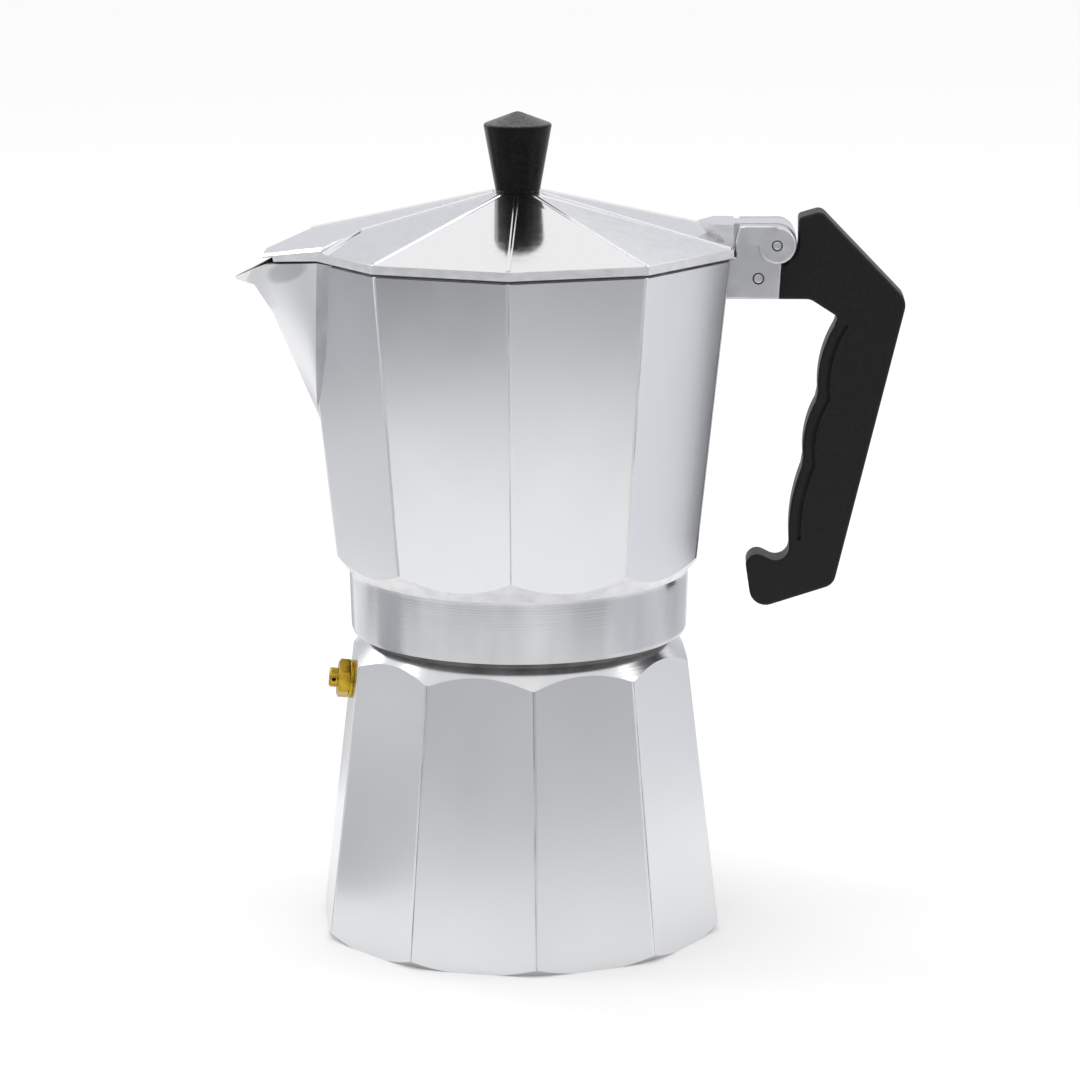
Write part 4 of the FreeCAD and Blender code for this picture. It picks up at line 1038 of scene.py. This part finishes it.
# %% Knob
knob_steps = [(5.8, ROOF_TOP), (6.1, 205.9), (9.28, 223.5), (9.05, 224.0), (1.2, 227.0), (0.0, 227.3)]
knob = lathe("knob_body", knob_steps, [KNOB_BLACK], 96)
hollowed(knob, 2.0, 205, 216.6)
soften(knob, 0.25, 3, 20)
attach(knob, "lid_group")
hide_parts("knob")

screw_steps = [(3.0, 199.6), (3.6, 200.5), (3.6, 201.8), (2.0, 201.8), (2.0, 216.6)]
screw = lathe("knob_screw_body", screw_steps, [STEEL], 48)
slot_outline = [(-0.5, 199), (0.5, 199), (0.5, 200.7), (-0.5, 200.7)]
combine(screw, plate("tool", slot_outline, -5, 5, [STEEL]), "DIFFERENCE")
soften(screw, 0.1)
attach(screw, "lid_group")
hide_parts("knob_screw")

# %% [markdown]
# The handle is a flat black moulding. Its outline is drawn from straight runs, rounded corners and three swells
# for the fingers, each an arc through its two ends and its crest.

# %% Handle outline
def rounded(before, corner, after, radius, count=8):
    """Arc that rounds a corner between two straight runs."""
    p, q, r = Vector(before), Vector(corner), Vector(after)
    back, ahead = (p - q).normalized(), (r - q).normalized()
    half = back.angle(ahead) / 2
    reach = radius / math.tan(half)
    middle = q + (back + ahead).normalized() * (radius / math.sin(half) - radius)
    return arc(tuple(q + back * reach), tuple(middle), tuple(q + ahead * reach), count)


def behind_hinge(x, z):
    """A handle point, given behind the hinge pin and over the rim."""
    return (HINGE[0] + x, RIM + z)


tongue_low, bend, corner = behind_hinge(-12.13, -12.7), behind_hinge(9.2, -12.7), behind_hinge(16.5, -17.4)
swell_ends = [behind_hinge(*p) for p in ((16.4, -19.0), (11.6, -39.6), (7.8, -57.8), (4.05, -80.6))]
crests = [behind_hinge(*p) for p in ((11.9, -30.4), (7.7, -51.0), (4.4, -70.0))]
turns = [(4.05, -87.5, 3.7), (-8.6, -81.2, 3.1), (-5.9, -99.4, 4.5)]
turns += [(16.4, -92.1, 4.0), (35.5, -12.9, 5.0), (12.0, 11.5, 2.6)]
front_top, front_low = behind_hinge(5.8, 9.64), behind_hinge(5.8, 2.8)
outline = arc(front_low, behind_hinge(4.1, -1.3), behind_hinge(0, -3.0), 8)
outline += [behind_hinge(-12.13, -3.0), tongue_low]
outline += rounded(tongue_low, bend, corner, 4.0)
outline += rounded(bend, corner, swell_ends[0], 1.2, 4)
finger_line = []
for start, crest, end in zip(swell_ends, crests, swell_ends[1:]):
    outline += arc(start, crest, end, 14)[1:-1]
    finger_line += arc(start, crest, end, 14)[:-1]
path = [swell_ends[-1]] + [behind_hinge(x, z) for x, z, radius in turns] + [front_top]
for number, (x, z, radius) in enumerate(turns):
    outline += rounded(path[number], path[number + 1], path[number + 2], radius)
outline.append(front_top)
print("handle outline points", len(outline))

# %% [markdown]
# The outline is extruded and rounded all along its edges with a Bevel modifier. A narrow groove then follows the
# swells on both faces, cut after the rounding so that its own small edges don't hold that back.

# %% Handle
HANDLE_HALF = 5.5
GROOVE_NEAR, GROOVE_FAR, GROOVE_FLOOR = 2.4, 3.35, 4.4


def into_grip(line, reach):
    """A line along the swells, moved into the handle."""
    return [(x + 0.98 * reach, z - 0.2 * reach) for x, z in line]


handle = plate("handle_grip", outline, -HANDLE_HALF, HANDLE_HALF, [GRIP_BLACK])
drill(handle, HANDLE_PIN, GRIP_PIN_RADIUS, 9)
soften(handle, 1.9, 5, 50)
groove = into_grip(finger_line, GROOVE_NEAR) + into_grip(finger_line[::-1], GROOVE_FAR)
for side in (-1, 1):
    cutter = plate("tool", groove, side * GROOVE_FLOOR, side * (HANDLE_HALF + 0.5), [GRIP_BLACK])
    combine(handle, cutter, "DIFFERENCE")
soften(handle, 0.2, 3, 50)
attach(handle, "upper_pot")
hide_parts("handle")

# %% [markdown]
# Both pins end in slightly domed, riveted heads. Each head is narrower than its hole, and the sunk ring
# round it is painted dark as shade.

# %% Pins
RING_DEPTH = 0.6


def pin(name, node, centre, radius, half):
    """A pin along Y with two domed heads, and a sunk ring round each that is painted dark as shade."""
    head = radius * 0.8
    steps = [(head * 0.55, -half - 0.15), (head * 0.9, -half - 0.05), (head, -half + 0.2)]
    steps += [(head, -half + RING_DEPTH), (radius, -half + RING_DEPTH)]
    steps += [(r, -z) for r, z in reversed(steps)]
    piece = lathe(name, steps, [STEEL, CAST[PAINTED_SHADE]], 40)
    # The ring faces get painted shade, for the dark gap round each head.
    for face in piece.data.polygons:
        if (half - RING_DEPTH - 0.05) * MM < abs(face.center.z) < (half - 0.25) * MM:
            face.material_index = 1
    place = Matrix.Translation((centre[0] * MM, 0, centre[1] * MM))
    piece.matrix_world = place @ Matrix.Rotation(math.pi / 2, 4, "X")
    only(piece)
    bpy.ops.object.transform_apply(location=True, rotation=True, scale=True)
    soften(piece, 0.08)
    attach(piece, "upper_pot")
    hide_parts(node)


pin("lid_pin", "hinge_pin", HINGE, LID_PIN_RADIUS, EAR_OUTER)
pin("grip_pin", "handle_pin", HANDLE_PIN, GRIP_PIN_RADIUS, CHEEK_OUTER)

# %% [markdown]
# The pieces inside keep their CAD shape, and get the finish of what they are.

# %% Inside pieces
def refinish(node, finish):
    """Gives a CAD piece one finish in place of its own."""
    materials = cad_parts[node].data.materials
    materials.clear()
    materials.append(finish)
    print(node, "in", finish.name)


for node in ("funnel_basket", "funnel_tube", "funnel_screen", "filter_plate"):
    refinish(node, SHEET)
refinish("gasket", RUBBER)
refinish("column", CAST[INSIDE])
refinish("valve_pin", BRASS)
refinish("valve_spring", STEEL)
refinish("knob_washer", STEEL)

# %% [markdown]
# The pot stands on white paper under an even white sky. A flat metal side shows whatever lies where its
# mirror line ends: the upper pot's sides show the paper in front, from 0.3 m out to 0.55 m. So grey cards lie
# round the pot and stand farther off, as a photographer would place them, one for each side that should be
# darker than white. They give the sides their soft fall from grey to white and only show in reflections.

# %% Paper and cards
def paper(name, colour):
    """Matt paper or card with a faint fibre."""
    finish, tree, shader, place = new_finish(name, colour, 0.0, 0.9)
    fibre = grain(tree, place, (220, 220, 220), 3)
    relief(tree, shader, [(fibre, 0.02, 0.2)])
    shader.inputs["Specular IOR Level"].default_value = 0.1
    return finish


def card(name, colour, outline, start, end, upright=True, seen=False):
    """A sheet of card as a thin plate. All but the floor are left out of everything except reflections."""
    outline = [(a / MM, b / MM) for a, b in outline]
    piece = plate(name, outline, start / MM, end / MM, [paper(name, colour)], upright=upright)
    piece.visible_camera = seen
    piece.visible_diffuse = seen
    piece.visible_shadow = seen


def bow(radius, first, last):
    """Points along an arc round the pot, in metres."""
    angles = [math.radians(t) for t in range(first, last + 1)]
    return [(radius * math.cos(t), radius * math.sin(t)) for t in angles]


def floor_card(name, colour, near, far, first, last):
    """A card on the floor, between two distances from the pot and two angles round it."""
    card(name, colour, bow(near, first, last) + bow(far, first, last)[::-1], 0.002, 0.003, upright=False)


card("floor", (0.96, 0.96, 0.96), [(-8, -8), (8, -8), (8, 8), (-8, 8)], -0.004, 0, upright=False, seen=True)
floor_card("front_left_card", (0.20, 0.205, 0.22), 0.46, 2.2, -155, -118)
floor_card("front_card", (0.36, 0.365, 0.38), 0.42, 2.2, -118, -90)
floor_card("front_right_card", (0.33, 0.335, 0.355), 0.46, 2.2, -90, -49)
floor_card("near_right_card", (0.54, 0.55, 0.57), 0.36, 2.2, -49, -25)
floor_card("right_card", (0.75, 0.765, 0.80), 0.26, 2.2, -25, 24)
floor_card("back_right_card", (0.66, 0.675, 0.70), 0.30, 2.2, 24, 70)
floor_card("back_left_card", (0.50, 0.51, 0.53), 0.09, 0.80, 88, 122)
floor_card("left_near_card", (0.68, 0.69, 0.71), 0.34, 0.54, 152, 166)
floor_card("left_card", (0.24, 0.255, 0.275), 0.54, 2.2, 146, 166)
floor_card("boiler_left_card", (0.48, 0.49, 0.51), 0.13, 0.58, 166, 190)
floor_card("flare_card", (0.34, 0.35, 0.37), 0.85, 2.2, 166, 200)
floor_card("corner_card", (0.48, 0.49, 0.51), 0.37, 0.85, 190, 205)
card("left_wall_card", (0.40, 0.41, 0.43), [(-1.5, 0), (-1.48, 0), (-1.48, 0.4), (-1.5, 0.4)], -0.45, 0.35)
card("right_wall_card", (0.45, 0.46, 0.48), [(1.48, 0), (1.5, 0), (1.5, 0.4), (1.48, 0.4)], 0.55, 1.2)
card("wall_card", (0.63, 0.64, 0.665), [(-3, 0), (0.4, 0), (0.4, 1.2), (-3, 1.2)], -2.0, -2.02)
card("front_wall_card", (0.42, 0.43, 0.45), [(0.4, 0), (3, 0), (3, 1.2), (0.4, 1.2)], -2.0, -2.02)
card("back_card", (0.64, 0.65, 0.69), [(-1, 0.0), (1, 0.0), (1, 0.80), (-1, 0.80)], 1.3, 1.31)
print("cards laid round the pot")

# %% [markdown]
# An even white sky does most of the lighting. Four small soft boxes, above, to both sides and behind the
# spout, are brighter than the sky, so they draw the bright lines along ribs and rounded edges.

# %% Sky and lamps
world = bpy.data.worlds.new("white_sky")
bpy.context.scene.world = world
world.use_nodes = True
sky = world.node_tree.nodes["Background"]
sky.inputs["Color"].default_value = (1, 1, 1, 1)
sky.inputs["Strength"].default_value = 1.0


def softbox(name, power, size, place, aim):
    """A rectangular lamp that is turned to a point and doesn't show itself."""
    light = bpy.data.lights.new(name, "AREA")
    light.shape = "RECTANGLE"
    light.size, light.size_y = size
    light.energy = power
    lamp = bpy.data.objects.new(name, light)
    lamp.location = place
    lamp.rotation_euler = (Vector(aim) - Vector(place)).to_track_quat("-Z", "Y").to_euler()
    lamp.visible_camera = False
    bpy.context.scene.collection.objects.link(lamp)


softbox("top_light", 2.2, (0.44, 0.38), (-0.1, -0.1, 1.7), (0, 0, 0.1))
softbox("left_light", 1.3, (0.3, 0.36), (-1.2, 0.1, 0.95), (0, 0, 0.12))
softbox("right_light", 1.3, (0.3, 0.36), (1.2, 0.1, 0.95), (0, 0, 0.12))
softbox("rim_light", 1.3, (0.3, 0.36), (-1.0, 0.84, 0.75), (-0.06, -0.02, 0.19))
print("stage set")
